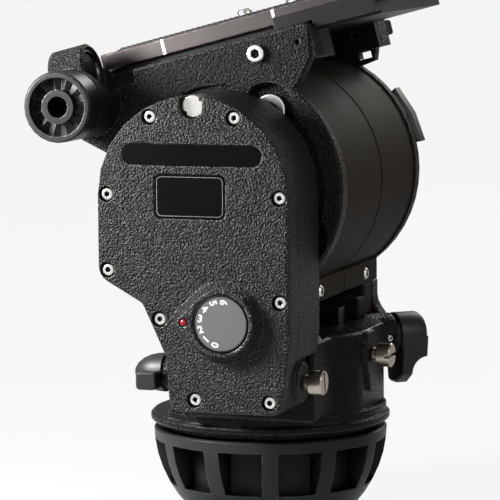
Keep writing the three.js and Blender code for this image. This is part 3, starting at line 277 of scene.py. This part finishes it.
def satin_finish(name, dark, light, worn, rough, metallic=0.0, radius=0.0005, wear=0.4, scale=1500.0,
                 bump=0.12, dusty=0.05, coat=0.0, gloss=0.35, painted_shade_reach=0.0, painted_shade_colour=(0.035, 0.026, 0.02)):
    """A smooth black or metal finish: uneven tone, fine grain, worn edges, a little dust, and painted
    shade in corners where asked.
    """
    made = bpy.data.materials.new(name)
    made.use_nodes = True
    tree = made.node_tree
    shader = tree.nodes["Principled BSDF"]
    edge = placed_group(tree, edges, Radius=radius, Wear=wear)
    fine = placed_group(tree, grain, Scale=scale)
    film = placed_group(tree, dust, Amount=dusty)
    base = mixed_colour(tree, fine.outputs["Tone"], dark, light)
    base = mixed_colour(tree, edge.outputs["Mask"], base, worn)
    base = mixed_colour(tree, film.outputs["Mask"], base, dust_colour)
    # Painted shade: slots, sockets and corners are darkened where the ambient occlusion finds them.
    if painted_shade_reach:
        shaded_corners = placed_group(tree, painted_shade, Reach=painted_shade_reach)
        base = mixed_colour(tree, shaded_corners.outputs["Mask"], base, painted_shade_colour)
    tree.links.new(base, shader.inputs["Base Color"])
    uneven = ranged(tree, fine.outputs["Tone"], rough - smoother, rough + rougher)
    tree.links.new(uneven, shader.inputs["Roughness"])
    shader.inputs["Metallic"].default_value = metallic
    shader.inputs["Coat Weight"].default_value = coat
    shader.inputs["Specular IOR Level"].default_value = gloss
    relief = tree.nodes.new("ShaderNodeBump")
    relief.inputs["Strength"].default_value = bump
    relief.inputs["Distance"].default_value = grain_depth
    tree.links.new(fine.outputs["Height"], relief.inputs["Height"])
    tree.links.new(edge.outputs["Normal"], relief.inputs["Normal"])
    tree.links.new(relief.outputs["Normal"], shader.inputs["Normal"])
    return made


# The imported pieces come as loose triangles: they are joined, and shaded smooth where they bend gently.
joining = bpy.data.node_groups.new("joined_and_smooth", "GeometryNodeTree")
joining.interface.new_socket("Geometry", in_out="INPUT", socket_type="NodeSocketGeometry")
joining.interface.new_socket("Geometry", in_out="OUTPUT", socket_type="NodeSocketGeometry")
steps, join_up = joining.nodes, joining.links.new
enter, leave = steps.new("NodeGroupInput"), steps.new("NodeGroupOutput")
bare, weld = steps.new("GeometryNodeRemoveAttribute"), steps.new("GeometryNodeMergeByDistance")
smooth_all, crease = (steps.new("GeometryNodeSetShadeSmooth") for part in range(2))
angle, sharper = steps.new("GeometryNodeInputMeshEdgeAngle"), steps.new("FunctionNodeCompare")
weld_reach, crease_angle = 0.000002, math.radians(26)
bare.inputs["Name"].default_value = "custom_normal"
weld.inputs["Distance"].default_value = weld_reach
crease.domain = "EDGE"
crease.inputs["Shade Smooth"].default_value = False
sharper.inputs[1].default_value = crease_angle
join_up(enter.outputs[0], bare.inputs["Geometry"])
join_up(bare.outputs["Geometry"], weld.inputs["Geometry"])
join_up(weld.outputs["Geometry"], smooth_all.inputs["Geometry"])
join_up(smooth_all.outputs["Geometry"], crease.inputs["Geometry"])
join_up(angle.outputs["Unsigned Angle"], sharper.inputs[0])
join_up(sharper.outputs["Result"], crease.inputs["Selection"])
join_up(crease.outputs["Geometry"], leave.inputs[0])


def dress(made, *names):
    """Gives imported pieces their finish, and joins and smooths their faces."""
    for name in names:
        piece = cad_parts[name]
        piece.data.materials.clear()
        piece.data.materials.append(made)
        piece.modifiers.new("joined_and_smooth", "NODES").node_group = joining


# The ball's pockets and corners are darkened to near black with painted shade.
ball_black = satin_finish(
    "ball_satin_black", (0.018, 0.018, 0.019), (0.027, 0.027, 0.029), (0.16, 0.15, 0.14), 0.36,
    radius=0.0006, wear=0.35, scale=1900.0, bump=0.1, gloss=0.12,
    painted_shade_reach=0.014, painted_shade_colour=(0.0005, 0.0005, 0.0008),
)
dress(ball_black, "ball_base")


# Pan casting
# A sand casting with two arms, under black paint that crinkles as it dries. On this piece
# the paint is thin and glossy, with painted shade in its valleys, and it is rubbed a little along the
# edges, lightened there also as painted highlight.
wrinkle, into, out = new_effect(
    "wrinkle_paint", {"Scale": 800.0}, {"Height": "NodeSocketFloat", "Tone": "NodeSocketFloat"}
)
cell_softness, stir_scale, stir_reach = 0.7, 900, 0.0007
finer_factor, finer_share, paint_tone_scale = 1.2, 0.45, 38
spot = wrinkle.nodes.new("ShaderNodeTexCoord").outputs["Object"]
cells = wrinkle.nodes.new("ShaderNodeTexVoronoi")
cells.feature = "SMOOTH_F1"
cells.inputs["Smoothness"].default_value = cell_softness
stir = wrinkle.nodes.new("ShaderNodeVectorMath")
stir.operation = "MULTIPLY_ADD"
stirring = wrinkle.nodes.new("ShaderNodeTexNoise")
stirring.inputs["Scale"].default_value = stir_scale
wrinkle.links.new(spot, stirring.inputs["Vector"])
wrinkle.links.new(stirring.outputs["Color"], stir.inputs[0])
stir.inputs[1].default_value = (stir_reach, stir_reach, stir_reach)
wrinkle.links.new(spot, stir.inputs[2])
wrinkle.links.new(stir.outputs[0], cells.inputs["Vector"])
wrinkle.links.new(into.outputs["Scale"], cells.inputs["Scale"])
bumps = math_step(wrinkle, "SUBTRACT", 1.0, cells.outputs["Distance"])
finer_scale = math_step(wrinkle, "MULTIPLY", into.outputs["Scale"], finer_factor)
fine_bumps = noise_step(wrinkle, finer_scale, 2, 0.5, stir.outputs[0])
height = math_step(wrinkle, "ADD", bumps, math_step(wrinkle, "MULTIPLY", fine_bumps, finer_share))
wrinkle.links.new(height, out.inputs["Height"])
wrinkle.links.new(noise_step(wrinkle, paint_tone_scale, 4, 0.6), out.inputs["Tone"])


paint_radius, paint_dust, paint_dust_colour = 0.0011, 0.04, (0.42, 0.4, 0.37)
valley_shade_colour, rubbed_and_highlight_colour = (0.003, 0.003, 0.003), (0.12, 0.112, 0.105)
valley_height, crest_height, valley_rougher, crest_smoother = 0.55, 1.05, 0.25, 0.06
edge_flatness, edge_rough_share = 0.9, 0.3


def wrinkle_finish(name, dark, light, rough, scale=1250.0, depth=0.0016, strength=1.0,
                   wear=0.6, gloss=0.26):
    """Black wrinkle paint on a casting, with painted shade in its valleys, rubbed through a little along
    its edges and lightened there also as painted highlight.
    """
    made = bpy.data.materials.new(name)
    made.use_nodes = True
    tree = made.node_tree
    shader = tree.nodes["Principled BSDF"]
    edge = placed_group(tree, edges, Radius=paint_radius, Wear=wear)
    paint = placed_group(tree, wrinkle, Scale=scale)
    film = placed_group(tree, dust, Amount=paint_dust)
    height, near_edge = paint.outputs["Height"], edge.outputs["Near"]
    shader.inputs["Specular IOR Level"].default_value = gloss
    base = mixed_colour(tree, paint.outputs["Tone"], dark, light)
    # Painted shade: the valleys between the wrinkles are darkened toward near black.
    valley_shade = ranged(tree, height, 1.0, 0.0, valley_height, crest_height)
    base = mixed_colour(tree, valley_shade, base, valley_shade_colour)
    # The edges are lightened by the wear mask, partly as rubbed paint and partly as painted highlight.
    base = mixed_colour(tree, edge.outputs["Mask"], base, rubbed_and_highlight_colour)
    base = mixed_colour(tree, film.outputs["Mask"], base, paint_dust_colour)
    tree.links.new(base, shader.inputs["Base Color"])
    in_valley, on_crest = rough + valley_rougher, rough - crest_smoother
    painted = ranged(tree, height, in_valley, on_crest, valley_height, crest_height)
    smoothed = math_step(tree, "MULTIPLY", painted, ranged(tree, near_edge, 1.0, edge_rough_share))
    tree.links.new(smoothed, shader.inputs["Roughness"])
    flatter = math_step(tree, "SUBTRACT", 1.0, math_step(tree, "MULTIPLY", near_edge, edge_flatness))
    relief = tree.nodes.new("ShaderNodeBump")
    relief.inputs["Strength"].default_value = strength
    relief.inputs["Distance"].default_value = depth
    tree.links.new(math_step(tree, "MULTIPLY", height, flatter), relief.inputs["Height"])
    tree.links.new(edge.outputs["Normal"], relief.inputs["Normal"])
    tree.links.new(relief.outputs["Normal"], shader.inputs["Normal"])
    return made


cast_gloss = wrinkle_finish(
    "gloss_black_casting", (0.004, 0.004, 0.0041), (0.008, 0.0079, 0.0078), 0.16,
    depth=0.0004, strength=0.6, wear=0.5, gloss=0.1,
)
dress(cast_gloss, "base_casting")


# Screws of the casting
# Nickel-plated screws: a small set screw in the collar of the pan brake, and two slotted
# shoulder screws in a darker, browner copy of the nickel that is painted shade. Both nickels carry painted
# shade in their slots and sockets.
nickel = satin_finish(
    "nickel_screws", (0.82, 0.8, 0.77), (0.92, 0.905, 0.88), (0.95, 0.94, 0.92), 0.27,
    metallic=1.0, radius=0.0002, wear=0.5, scale=2600.0, bump=0.1, dusty=0.0, painted_shade_reach=0.0008,
)
shaded_nickel = satin_finish(
    "shaded_nickel", (0.34, 0.30, 0.25), (0.5, 0.455, 0.4), (0.72, 0.68, 0.62), 0.27,
    metallic=1.0, radius=0.00025, wear=0.6, scale=2400.0, bump=0.15, dusty=0.0, painted_shade_reach=0.0012,
)
dress(nickel, "collar_set_screw")
dress(shaded_nickel, "shoulder_screw_near", "shoulder_screw_far")


# Knobs, wheel and lever
# Two brake knobs, the balance wheel and the lock lever, all moulded in black plastic with a
# fine even grain.
black_plastic = satin_finish(
    "black_plastic", (0.009, 0.009, 0.0095), (0.016, 0.016, 0.0165), (0.06, 0.06, 0.06), 0.4,
    radius=0.0006, wear=0.25, scale=2300.0, bump=0.25,
)
dress(black_plastic, "pan_brake_knob", "tilt_brake_knob", "balance_wheel", "lock_lever")


# Brake block, rosettes and clamp rail
# Small machined pieces, anodised black. The block sits in the gap below the drum, the
# toothed rosettes take the pan handles, and the rail hooks under the camera plate's edge.
black_metal = satin_finish(
    "black_anodised", (0.011, 0.011, 0.012), (0.019, 0.019, 0.02), (0.2, 0.19, 0.18), 0.34,
    metallic=0.3, radius=0.0004, wear=0.45,
)
dress(black_metal, "brake_block", "rosette_near", "rosette_far", "clamp_rail")


# Side drag unit
# A cast housing with a cast cover, both under wrinkle paint, held by nine nickel button
# heads with star sockets. A nickel plug sits in the notch at the cover's top.
cast_black = wrinkle_finish("wrinkle_black_casting", (0.017, 0.0168, 0.0165), (0.028, 0.0276, 0.027), 0.33)
dress(cast_black, "side_housing", "side_cover")
dress(nickel, "filler_plug")


def joined_by(piece, name, body, made):
    """Names a finished new piece, gives it its finish, and puts it on its body."""
    piece.name = piece.data.name = name
    piece.data.materials.clear()
    piece.data.materials.append(made)
    bpy.ops.object.select_all(action="DESELECT")
    piece.select_set(True)
    bpy.context.view_layer.objects.active = piece
    bpy.ops.object.transform_apply(location=True, rotation=True, scale=True)
    bpy.ops.object.shade_smooth_by_angle(angle=math.radians(30))
    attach(piece, body)


def own_copy(pattern):
    """A copy of a modelled pattern, with a mesh of its own."""
    piece = pattern.copy()
    piece.data = pattern.data.copy()
    bpy.context.scene.collection.objects.link(piece)
    return piece


head_sides, crown_profile = 36, 0.55
lobe_share, socket_depth_share, socket_taper = 0.12, 0.7, 0.86
sixth = math.radians(60)
hair = 0.00001


def socket_screw(packed, socket, crown, star):
    """A head of a packed head's size, its middle at the origin, with a six-lobed or hexagon socket."""
    low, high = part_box(packed)
    radius, head = (high.x - low.x) / 2, high.y - low.y
    bpy.ops.object.select_all(action="DESELECT")
    bpy.ops.mesh.primitive_cylinder_add(vertices=head_sides, radius=radius, depth=head)
    screw = bpy.context.object
    bpy.ops.object.mode_set(mode="EDIT")
    bpy.ops.mesh.select_mode(type="EDGE")
    bpy.ops.mesh.select_all(action="DESELECT")
    bpy.ops.object.mode_set(mode="OBJECT")
    for edge in screw.data.edges:
        edge.select = all(screw.data.vertices[end].co.z > head / 2 - hair for end in edge.vertices)
    bpy.ops.object.mode_set(mode="EDIT")
    bpy.ops.mesh.bevel(offset=radius * crown, segments=5, profile=crown_profile)
    bpy.ops.mesh.select_mode(type="FACE")
    bpy.ops.mesh.select_all(action="DESELECT")
    bpy.ops.object.mode_set(mode="OBJECT")
    for face in screw.data.polygons:
        face.select = face.normal.z > 0.99 and face.center.z > head / 2 - hair
    bpy.ops.object.mode_set(mode="EDIT")
    bpy.ops.mesh.inset(thickness=radius * (1 - crown) - socket)
    bpy.ops.object.mode_set(mode="OBJECT")
    rim = {corner for face in screw.data.polygons if face.select for corner in face.vertices}
    for corner in rim:
        spot = screw.data.vertices[corner].co
        way = math.atan2(spot.y, spot.x)
        if star:
            grow = 1 - lobe_share + lobe_share * math.cos(6 * way)
        else:
            grow = math.cos(sixth / 2) / math.cos(way % sixth - sixth / 2)
        spot.x, spot.y = spot.x * grow, spot.y * grow
    bpy.ops.object.mode_set(mode="EDIT")
    sunk = (0, 0, -head * socket_depth_share)
    bpy.ops.mesh.extrude_region_move(TRANSFORM_OT_translate={"value": sunk})
    bpy.ops.transform.resize(value=(socket_taper, socket_taper, 1))
    bpy.ops.object.mode_set(mode="OBJECT")
    return screw


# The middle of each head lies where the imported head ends, so its back half is hidden.
cover_socket, cover_crown, socket_turn = 0.00128, 0.42, 23
star_head = socket_screw("cover_screw_1", cover_socket, cover_crown, True)
for number in range(1, 10):
    low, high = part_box(f"cover_screw_{number}")
    screw = own_copy(star_head)
    screw.rotation_euler = (math.radians(90), math.radians(socket_turn * number), 0)
    screw.location = ((low.x + high.x) / 2, high.y, (low.z + high.z) / 2)
    joined_by(screw, f"cover_screw_{number}_star", "pan_body", nickel)
    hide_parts(f"cover_screw_{number}")
bpy.data.objects.remove(star_head)


# Plates
# A long plate and a badge plate of dark enamelled metal, each in a shallow pocket of the
# cover. The badge has a thin light line round its edge.
dark_plate = satin_finish(
    "dark_plate", (0.002, 0.0019, 0.0019), (0.0035, 0.0033, 0.0033), (0.1, 0.095, 0.09), 0.3,
    radius=0.0002, wear=0.2, scale=3000.0, bump=0.05, dusty=0.0, gloss=0.05,
)
dress(dark_plate, "name_plate", "badge_plate")
line_grey = satin_finish(
    "line_grey", (0.1, 0.093, 0.086), (0.17, 0.16, 0.15), (0.3, 0.3, 0.3), 0.4,
    radius=0.00005, wear=0.0, bump=0.05, dusty=0.0,
)
border_lift, border_inset, border_corner, border_width = 0.00004, 0.0016, 0.0021, 0.0003
low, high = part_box("badge_plate")
border_place = ((low.x + high.x) / 2, low.y - border_lift, (low.z + high.z) / 2)
bpy.ops.object.select_all(action="DESELECT")
bpy.ops.mesh.primitive_plane_add(size=1, location=border_place, rotation=(math.radians(90), 0, 0))
line = bpy.context.object
line.scale = (high.x - low.x - border_inset, high.z - low.z - border_inset, 1)
bpy.ops.object.transform_apply(location=True, rotation=True, scale=True)
bpy.ops.object.mode_set(mode="EDIT")
bpy.ops.mesh.select_all(action="SELECT")
bpy.ops.mesh.bevel(offset=border_corner, segments=6, affect="VERTICES")
bpy.ops.mesh.select_all(action="SELECT")
bpy.ops.mesh.inset(thickness=border_width)
bpy.ops.mesh.delete(type="FACE")
bpy.ops.mesh.select_all(action="SELECT")
bpy.ops.mesh.normals_make_consistent(inside=False)
bpy.ops.object.mode_set(mode="OBJECT")
joined_by(line, "badge_border", "pan_body", line_grey)


# Dials
# Each dial is a black moulded cap with a grey printed sheet, and its white numbers run from
# 0 to 6 round the left half. A dome of red enamel beside the tilt dial marks the setting.
dial_grey = satin_finish(
    "grey_dial_face", (0.105, 0.105, 0.106), (0.135, 0.135, 0.136), (0.3, 0.3, 0.3), 0.42,
    radius=0.0002, wear=0.1, scale=2600.0, bump=0.12, dusty=0.0,
)
dress(dial_grey, "dial_face", "pan_dial_face")
# The caps are darker than the other black plastic: painted shade for the dark gap round each dial.
dial_black_with_shade = satin_finish(
    "dial_black_with_shade", (0.004, 0.004, 0.004), (0.008, 0.008, 0.008), (0.04, 0.04, 0.04), 0.6,
    radius=0.0003, wear=0.15, scale=2300.0, bump=0.2, gloss=0.12,
)
dress(dial_black_with_shade, "tilt_dial", "pan_dial")
red_enamel = satin_finish(
    "red_pointer", (0.2, 0.003, 0.006), (0.34, 0.005, 0.009), (0.6, 0.1, 0.1), 0.22,
    radius=0.0003, wear=0.1, bump=0.05, dusty=0.0, coat=0.5,
)
low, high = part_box("dial_pointer")
dome_radius = (high.x - low.x) / 2
bpy.ops.object.select_all(action="DESELECT")
bpy.ops.mesh.primitive_uv_sphere_add(segments=28, ring_count=14, radius=dome_radius)
dome = bpy.context.object
bpy.ops.object.mode_set(mode="EDIT")
bpy.ops.mesh.select_all(action="SELECT")
bpy.ops.mesh.bisect(plane_co=(0, 0, 0), plane_no=(0, 0, 1), use_fill=True, clear_inner=True)
bpy.ops.mesh.select_all(action="SELECT")
bpy.ops.transform.resize(value=(1, 1, (high.y - low.y) / dome_radius))
bpy.ops.object.mode_set(mode="OBJECT")
dome.rotation_euler = (math.radians(90), 0, 0)
dome.location = ((low.x + high.x) / 2, high.y, (low.z + high.z) / 2)
joined_by(dome, "dial_pointer_dome", "pan_body", red_enamel)
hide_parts("dial_pointer")

white_ink = satin_finish(
    "white_ink", (0.82, 0.82, 0.81), (0.9, 0.9, 0.89), (0.7, 0.7, 0.7), 0.5,
    radius=0.00005, wear=0.0, bump=0.05, dusty=0.0,
)
number_ring, number_step, level_number = 0.0088, math.radians(29), 2.6
number_size, number_lift, number_bold = 0.0042, 0.00002, 0.00011


def dial_number(number, centre, across, outward):
    """One white number on a dial whose face looks along outward."""
    step = (number - level_number) * number_step
    upright = Vector((0, 0, 1))
    reach = (upright * math.sin(step) - across * math.cos(step)) * number_ring
    bpy.ops.object.select_all(action="DESELECT")
    bpy.ops.object.text_add()
    text = bpy.context.object
    text.data.body = str(number)
    text.data.align_x, text.data.align_y = "CENTER", "CENTER"
    text.data.size, text.data.extrude, text.data.offset = number_size, number_lift, number_bold
    bpy.ops.object.convert(target="MESH")
    text = bpy.context.object
    facing = Matrix((across, upright, outward)).transposed().to_4x4()
    turned = Matrix.Rotation(-step, 4, outward)
    text.matrix_world = Matrix.Translation(centre + reach) @ turned @ facing
    return text


for dial, body, across, outward in (
    ("dial_face", "tilt_dial", Vector((1, 0, 0)), Vector((0, -1, 0))),
    ("pan_dial_face", "pan_dial", Vector((0, -1, 0)), Vector((-1, 0, 0))),
):
    low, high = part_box(dial)
    middle = (low + high) / 2
    half = abs((high - low).dot(outward)) / 2
    for number in range(7):
        text = dial_number(number, middle + outward * (half + number_lift), across, outward)
        joined_by(text, f"{body}_number_{number}", body, white_ink)


# Threads
# The necks of the two slotted shoulder screws and the shanks of the camera screws carry
# rolled threads, shown as rings with a sharp crest.
crest_share = 0.36


def thread_rings(name, radius, pitch, count, start, way, body, made=nickel):
    """A row of sharp rings round the axis through start, along way."""
    bpy.ops.object.select_all(action="DESELECT")
    bpy.ops.mesh.primitive_torus_add(
        major_radius=radius, minor_radius=pitch * crest_share, major_segments=40, minor_segments=4
    )
    ring = bpy.context.object
    rows = ring.modifiers.new("rows", "ARRAY")
    rows.use_relative_offset, rows.use_constant_offset, rows.count = False, True, count
    rows.constant_offset_displace = (0, 0, pitch)
    bpy.ops.object.modifier_apply(modifier="rows")
    ring.matrix_world = Matrix.Translation(start) @ way.to_track_quat("Z", "Y").to_matrix().to_4x4()
    joined_by(ring, name, body, made)


neck_radius, neck_pitch, neck_inset, neck_rings = 0.00275, 0.0007, 0.0006, 3
forward = Vector((1, 0, 0))
for screw in ("shoulder_screw_near", "shoulder_screw_far"):
    low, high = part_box(screw)
    start = Vector((low.x + neck_inset, (low.y + high.y) / 2, (low.z + high.z) / 2))
    name = f"{screw}_thread"
    thread_rings(name, neck_radius, neck_pitch, neck_rings, start, forward, "pan_body", shaded_nickel)


# Drum
# Two smooth castings, dark brown-grey, on feet with nickel bolts. A thin ring of black rubber
# fills the seam between them as painted shade for the dark seam.
tilt_axis_height = 0.1444
seam_shade_radius, seam_shade_depth, seam_shade_width = 0.0491, 0.00022, 0.0045
drum_metal = satin_finish(
    "smooth_brown_casting", (0.0145, 0.0104, 0.0074), (0.02, 0.015, 0.011), (0.2, 0.18, 0.16), 0.66,
    radius=0.0006, wear=0.3, scale=1300.0, bump=0.25, dusty=0.08, gloss=0.12,
)
dress(drum_metal, "drum_near", "drum_far", "drum_saddle")
dress(nickel, "drum_bolt_1", "drum_bolt_2", "drum_bolt_3", "drum_bolt_4")
rubber = satin_finish(
    "black_rubber", (0.012, 0.012, 0.012), (0.022, 0.022, 0.022), (0.05, 0.05, 0.05), 0.75,
    radius=0.0004, wear=0.2, scale=1400.0, bump=0.4, dusty=0.15,
)
bpy.ops.object.select_all(action="DESELECT")
bpy.ops.mesh.primitive_cylinder_add(vertices=96, radius=seam_shade_radius, depth=seam_shade_depth)
seam_shade_ring = bpy.context.object
bpy.ops.object.mode_set(mode="EDIT")
bpy.ops.mesh.select_mode(type="FACE")
bpy.ops.mesh.select_all(action="DESELECT")
bpy.ops.object.mode_set(mode="OBJECT")
for face in seam_shade_ring.data.polygons:
    face.select = abs(face.normal.z) > 0.99
bpy.ops.object.mode_set(mode="EDIT")
bpy.ops.mesh.inset(thickness=seam_shade_width)
bpy.ops.mesh.bridge_edge_loops()
bpy.ops.mesh.select_all(action="SELECT")
bpy.ops.mesh.normals_make_consistent(inside=False)
bpy.ops.object.mode_set(mode="OBJECT")
seam_shade_ring.rotation_euler = (math.radians(90), 0, 0)
seam_shade_ring.location = (0, (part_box("drum_near")[1].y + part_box("drum_far")[0].y) / 2, tilt_axis_height)
joined_by(seam_shade_ring, "drum_seam_shade", "pan_body", rubber)


# Socket heads
# Nickel hexagon socket screws: a cap head on each cheek, and four flat heads in the lobes
# of the near cheek's recess.
def hexagon_heads(names, outward, socket, crown):
    """Hexagon socket heads of one size in the place of packed ones, all facing one way."""
    hexagon = socket_screw(names[0], socket, crown, False)
    turned = outward.to_track_quat("Z", "X").to_matrix().to_4x4()
    for name in names:
        low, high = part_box(name)
        screw = own_copy(hexagon)
        screw.matrix_world = Matrix.Translation((low + high) / 2 - outward * (high.y - low.y) / 2) @ turned
        joined_by(screw, f"{name}_hexagon", "tilt_frame", nickel)
        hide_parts(name)
    bpy.data.objects.remove(hexagon)


near_side, far_side = Vector((0, -1, 0)), Vector((0, 1, 0))
cap_socket, cap_crown, bolt_socket, bolt_crown = 0.0021, 0.2, 0.0031, 0.16
hexagon_heads(["cap_screw_near"], near_side, cap_socket, cap_crown)
hexagon_heads(["cap_screw_far"], far_side, cap_socket, cap_crown)
hexagon_heads([f"cheek_bolt_{number}" for number in range(1, 5)], near_side, bolt_socket, bolt_crown)


# Tilt frame
# Two cast cheeks under wrinkle paint on one bare axle, with the black anodised platform
# guide between their bars, and in each handle boss a glossy black cap that is painted shade for the dark
# bore.
# The cheeks' paint is a darker copy of the cover's wrinkle paint, the extra darkness painted shade.
cheek_black_shaded = wrinkle_finish(
    "wrinkle_black_cheek_shaded", (0.012, 0.0119, 0.0118), (0.02, 0.0198, 0.0195), 0.34,
    scale=1400.0, depth=0.0012, gloss=0.18,
)
dress(cheek_black_shaded, "cheek_near", "cheek_far")
dress(black_metal, "platform_guide")
bare_axle = satin_finish(
    "bare_axle", (0.3, 0.27, 0.225), (0.4, 0.36, 0.305), (0.5, 0.46, 0.4), 0.48,
    metallic=0.9, radius=0.0003, wear=0.2, scale=2000.0, bump=0.12, dusty=0.0,
)
dress(bare_axle, "tilt_axle")
bore_shade_black = satin_finish(
    "gloss_black_cap", (0.0035, 0.0035, 0.004), (0.005, 0.005, 0.006), (0.02, 0.02, 0.02), 0.12,
    radius=0.0005, wear=0.1, bump=0.02, dusty=0.02, coat=0.6,
)
dress(bore_shade_black, "boss_cap_near", "boss_cap_far")


# Camera plate
# A milled plate, anodised brown-grey, with two white index lines on each long edge,
# two camera screws in its slot and two rubber pads.
brown_metal = satin_finish(
    "brown_anodised", (0.045, 0.037, 0.036), (0.065, 0.055, 0.053), (0.5, 0.47, 0.45), 0.42,
    metallic=0.4, radius=0.0004, wear=0.5, scale=1700.0, bump=0.15,
)
dress(brown_metal, "camera_plate")
dress(nickel, "camera_screw_1", "camera_screw_2")
tilted = math.radians(14.7)
along = Vector((math.cos(tilted), 0, math.sin(tilted)))
square = Vector((-math.sin(tilted), 0, math.cos(tilted)))
axle_place = Vector((0, 0, tilt_axis_height))
shank_rise, shank_length, crest_inset_share = 0.0666, 0.0046, 0.2
screw_threads = ((0.032, 0.0047, 0.0015875), (0.008, 0.0031, 0.00127))
for number, (reach, radius, pitch) in enumerate(screw_threads, 1):
    name = f"camera_screw_{number}"
    start = axle_place + along * reach + square * shank_rise
    turns = int(shank_length / pitch) + 1
    thread_rings(f"{name}_thread", radius - pitch * crest_inset_share, pitch, turns, start, square, name)

pad_size, pad_corner = (0.12, 0.023, 0.0006), 0.002
pad_reach, pad_rise, pad_offset = 0.021, 0.06695, 0.025
rib_size, rib_edge, rib_step, rib_count = (0.0013, 0.022, 0.0006), 0.00025, 0.0025, 47
rib_start = (-0.0575, 0, 0.0005)
bpy.ops.object.select_all(action="DESELECT")
bpy.ops.mesh.primitive_cube_add(size=1)
pad = bpy.context.object
pad.scale = pad_size
bpy.ops.object.transform_apply(location=False, rotation=False, scale=True)
bpy.ops.object.mode_set(mode="EDIT")
bpy.ops.mesh.select_mode(type="EDGE")
bpy.ops.mesh.select_all(action="DESELECT")
bpy.ops.object.mode_set(mode="OBJECT")
for edge in pad.data.edges:
    ends = [pad.data.vertices[end].co for end in edge.vertices]
    edge.select = abs(ends[0].z - ends[1].z) > hair
bpy.ops.object.mode_set(mode="EDIT")
bpy.ops.mesh.bevel(offset=pad_corner, segments=5)
bpy.ops.object.mode_set(mode="OBJECT")
bpy.ops.object.select_all(action="DESELECT")
bpy.ops.mesh.primitive_cube_add(size=1, location=rib_start)
rib = bpy.context.object
rib.scale = rib_size
bpy.ops.object.transform_apply(location=True, rotation=True, scale=True)
bpy.ops.object.mode_set(mode="EDIT")
bpy.ops.mesh.select_all(action="SELECT")
bpy.ops.mesh.bevel(offset=rib_edge, segments=2)
bpy.ops.object.mode_set(mode="OBJECT")
rows = rib.modifiers.new("rows", "ARRAY")
rows.use_relative_offset, rows.use_constant_offset, rows.count = False, True, rib_count
rows.constant_offset_displace = (rib_step, 0, 0)
bpy.ops.object.modifier_apply(modifier="rows")
rib.select_set(True)
pad.select_set(True)
bpy.context.view_layer.objects.active = pad
bpy.ops.object.join()
for name, offset in (("pad_near", -pad_offset), ("pad_far", pad_offset)):
    ribbed = own_copy(pad)
    ribbed.rotation_euler = (0, -tilted, 0)
    ribbed.location = axle_place + along * pad_reach + square * pad_rise + Vector((0, offset, 0))
    joined_by(ribbed, f"{name}_ribbed", "camera_plate", rubber)
    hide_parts(name)
bpy.data.objects.remove(pad)

mark_size, mark_edge = (0.0013, 0.00006, 0.0064), 0.04
mark_places, mark_rise, plate_side = (-0.0147, 0.0354), 0.06305, 0.045
bpy.ops.object.select_all(action="DESELECT")
bpy.ops.mesh.primitive_cube_add(size=1)
mark = bpy.context.object
mark.scale = mark_size
bpy.ops.object.mode_set(mode="EDIT")
bpy.ops.mesh.select_all(action="SELECT")
bpy.ops.mesh.bevel(offset=mark_edge, segments=2)
bpy.ops.object.mode_set(mode="OBJECT")
for side_name, face in (("near", -plate_side), ("far", plate_side)):
    for number, reach in enumerate(mark_places, 1):
        index_line = own_copy(mark)
        index_line.rotation_euler = (0, -tilted, 0)
        index_line.location = axle_place + along * reach + square * mark_rise + Vector((0, face, 0))
        joined_by(index_line, f"index_line_{side_name}_{number}", "camera_plate", white_ink)
bpy.data.objects.remove(mark)
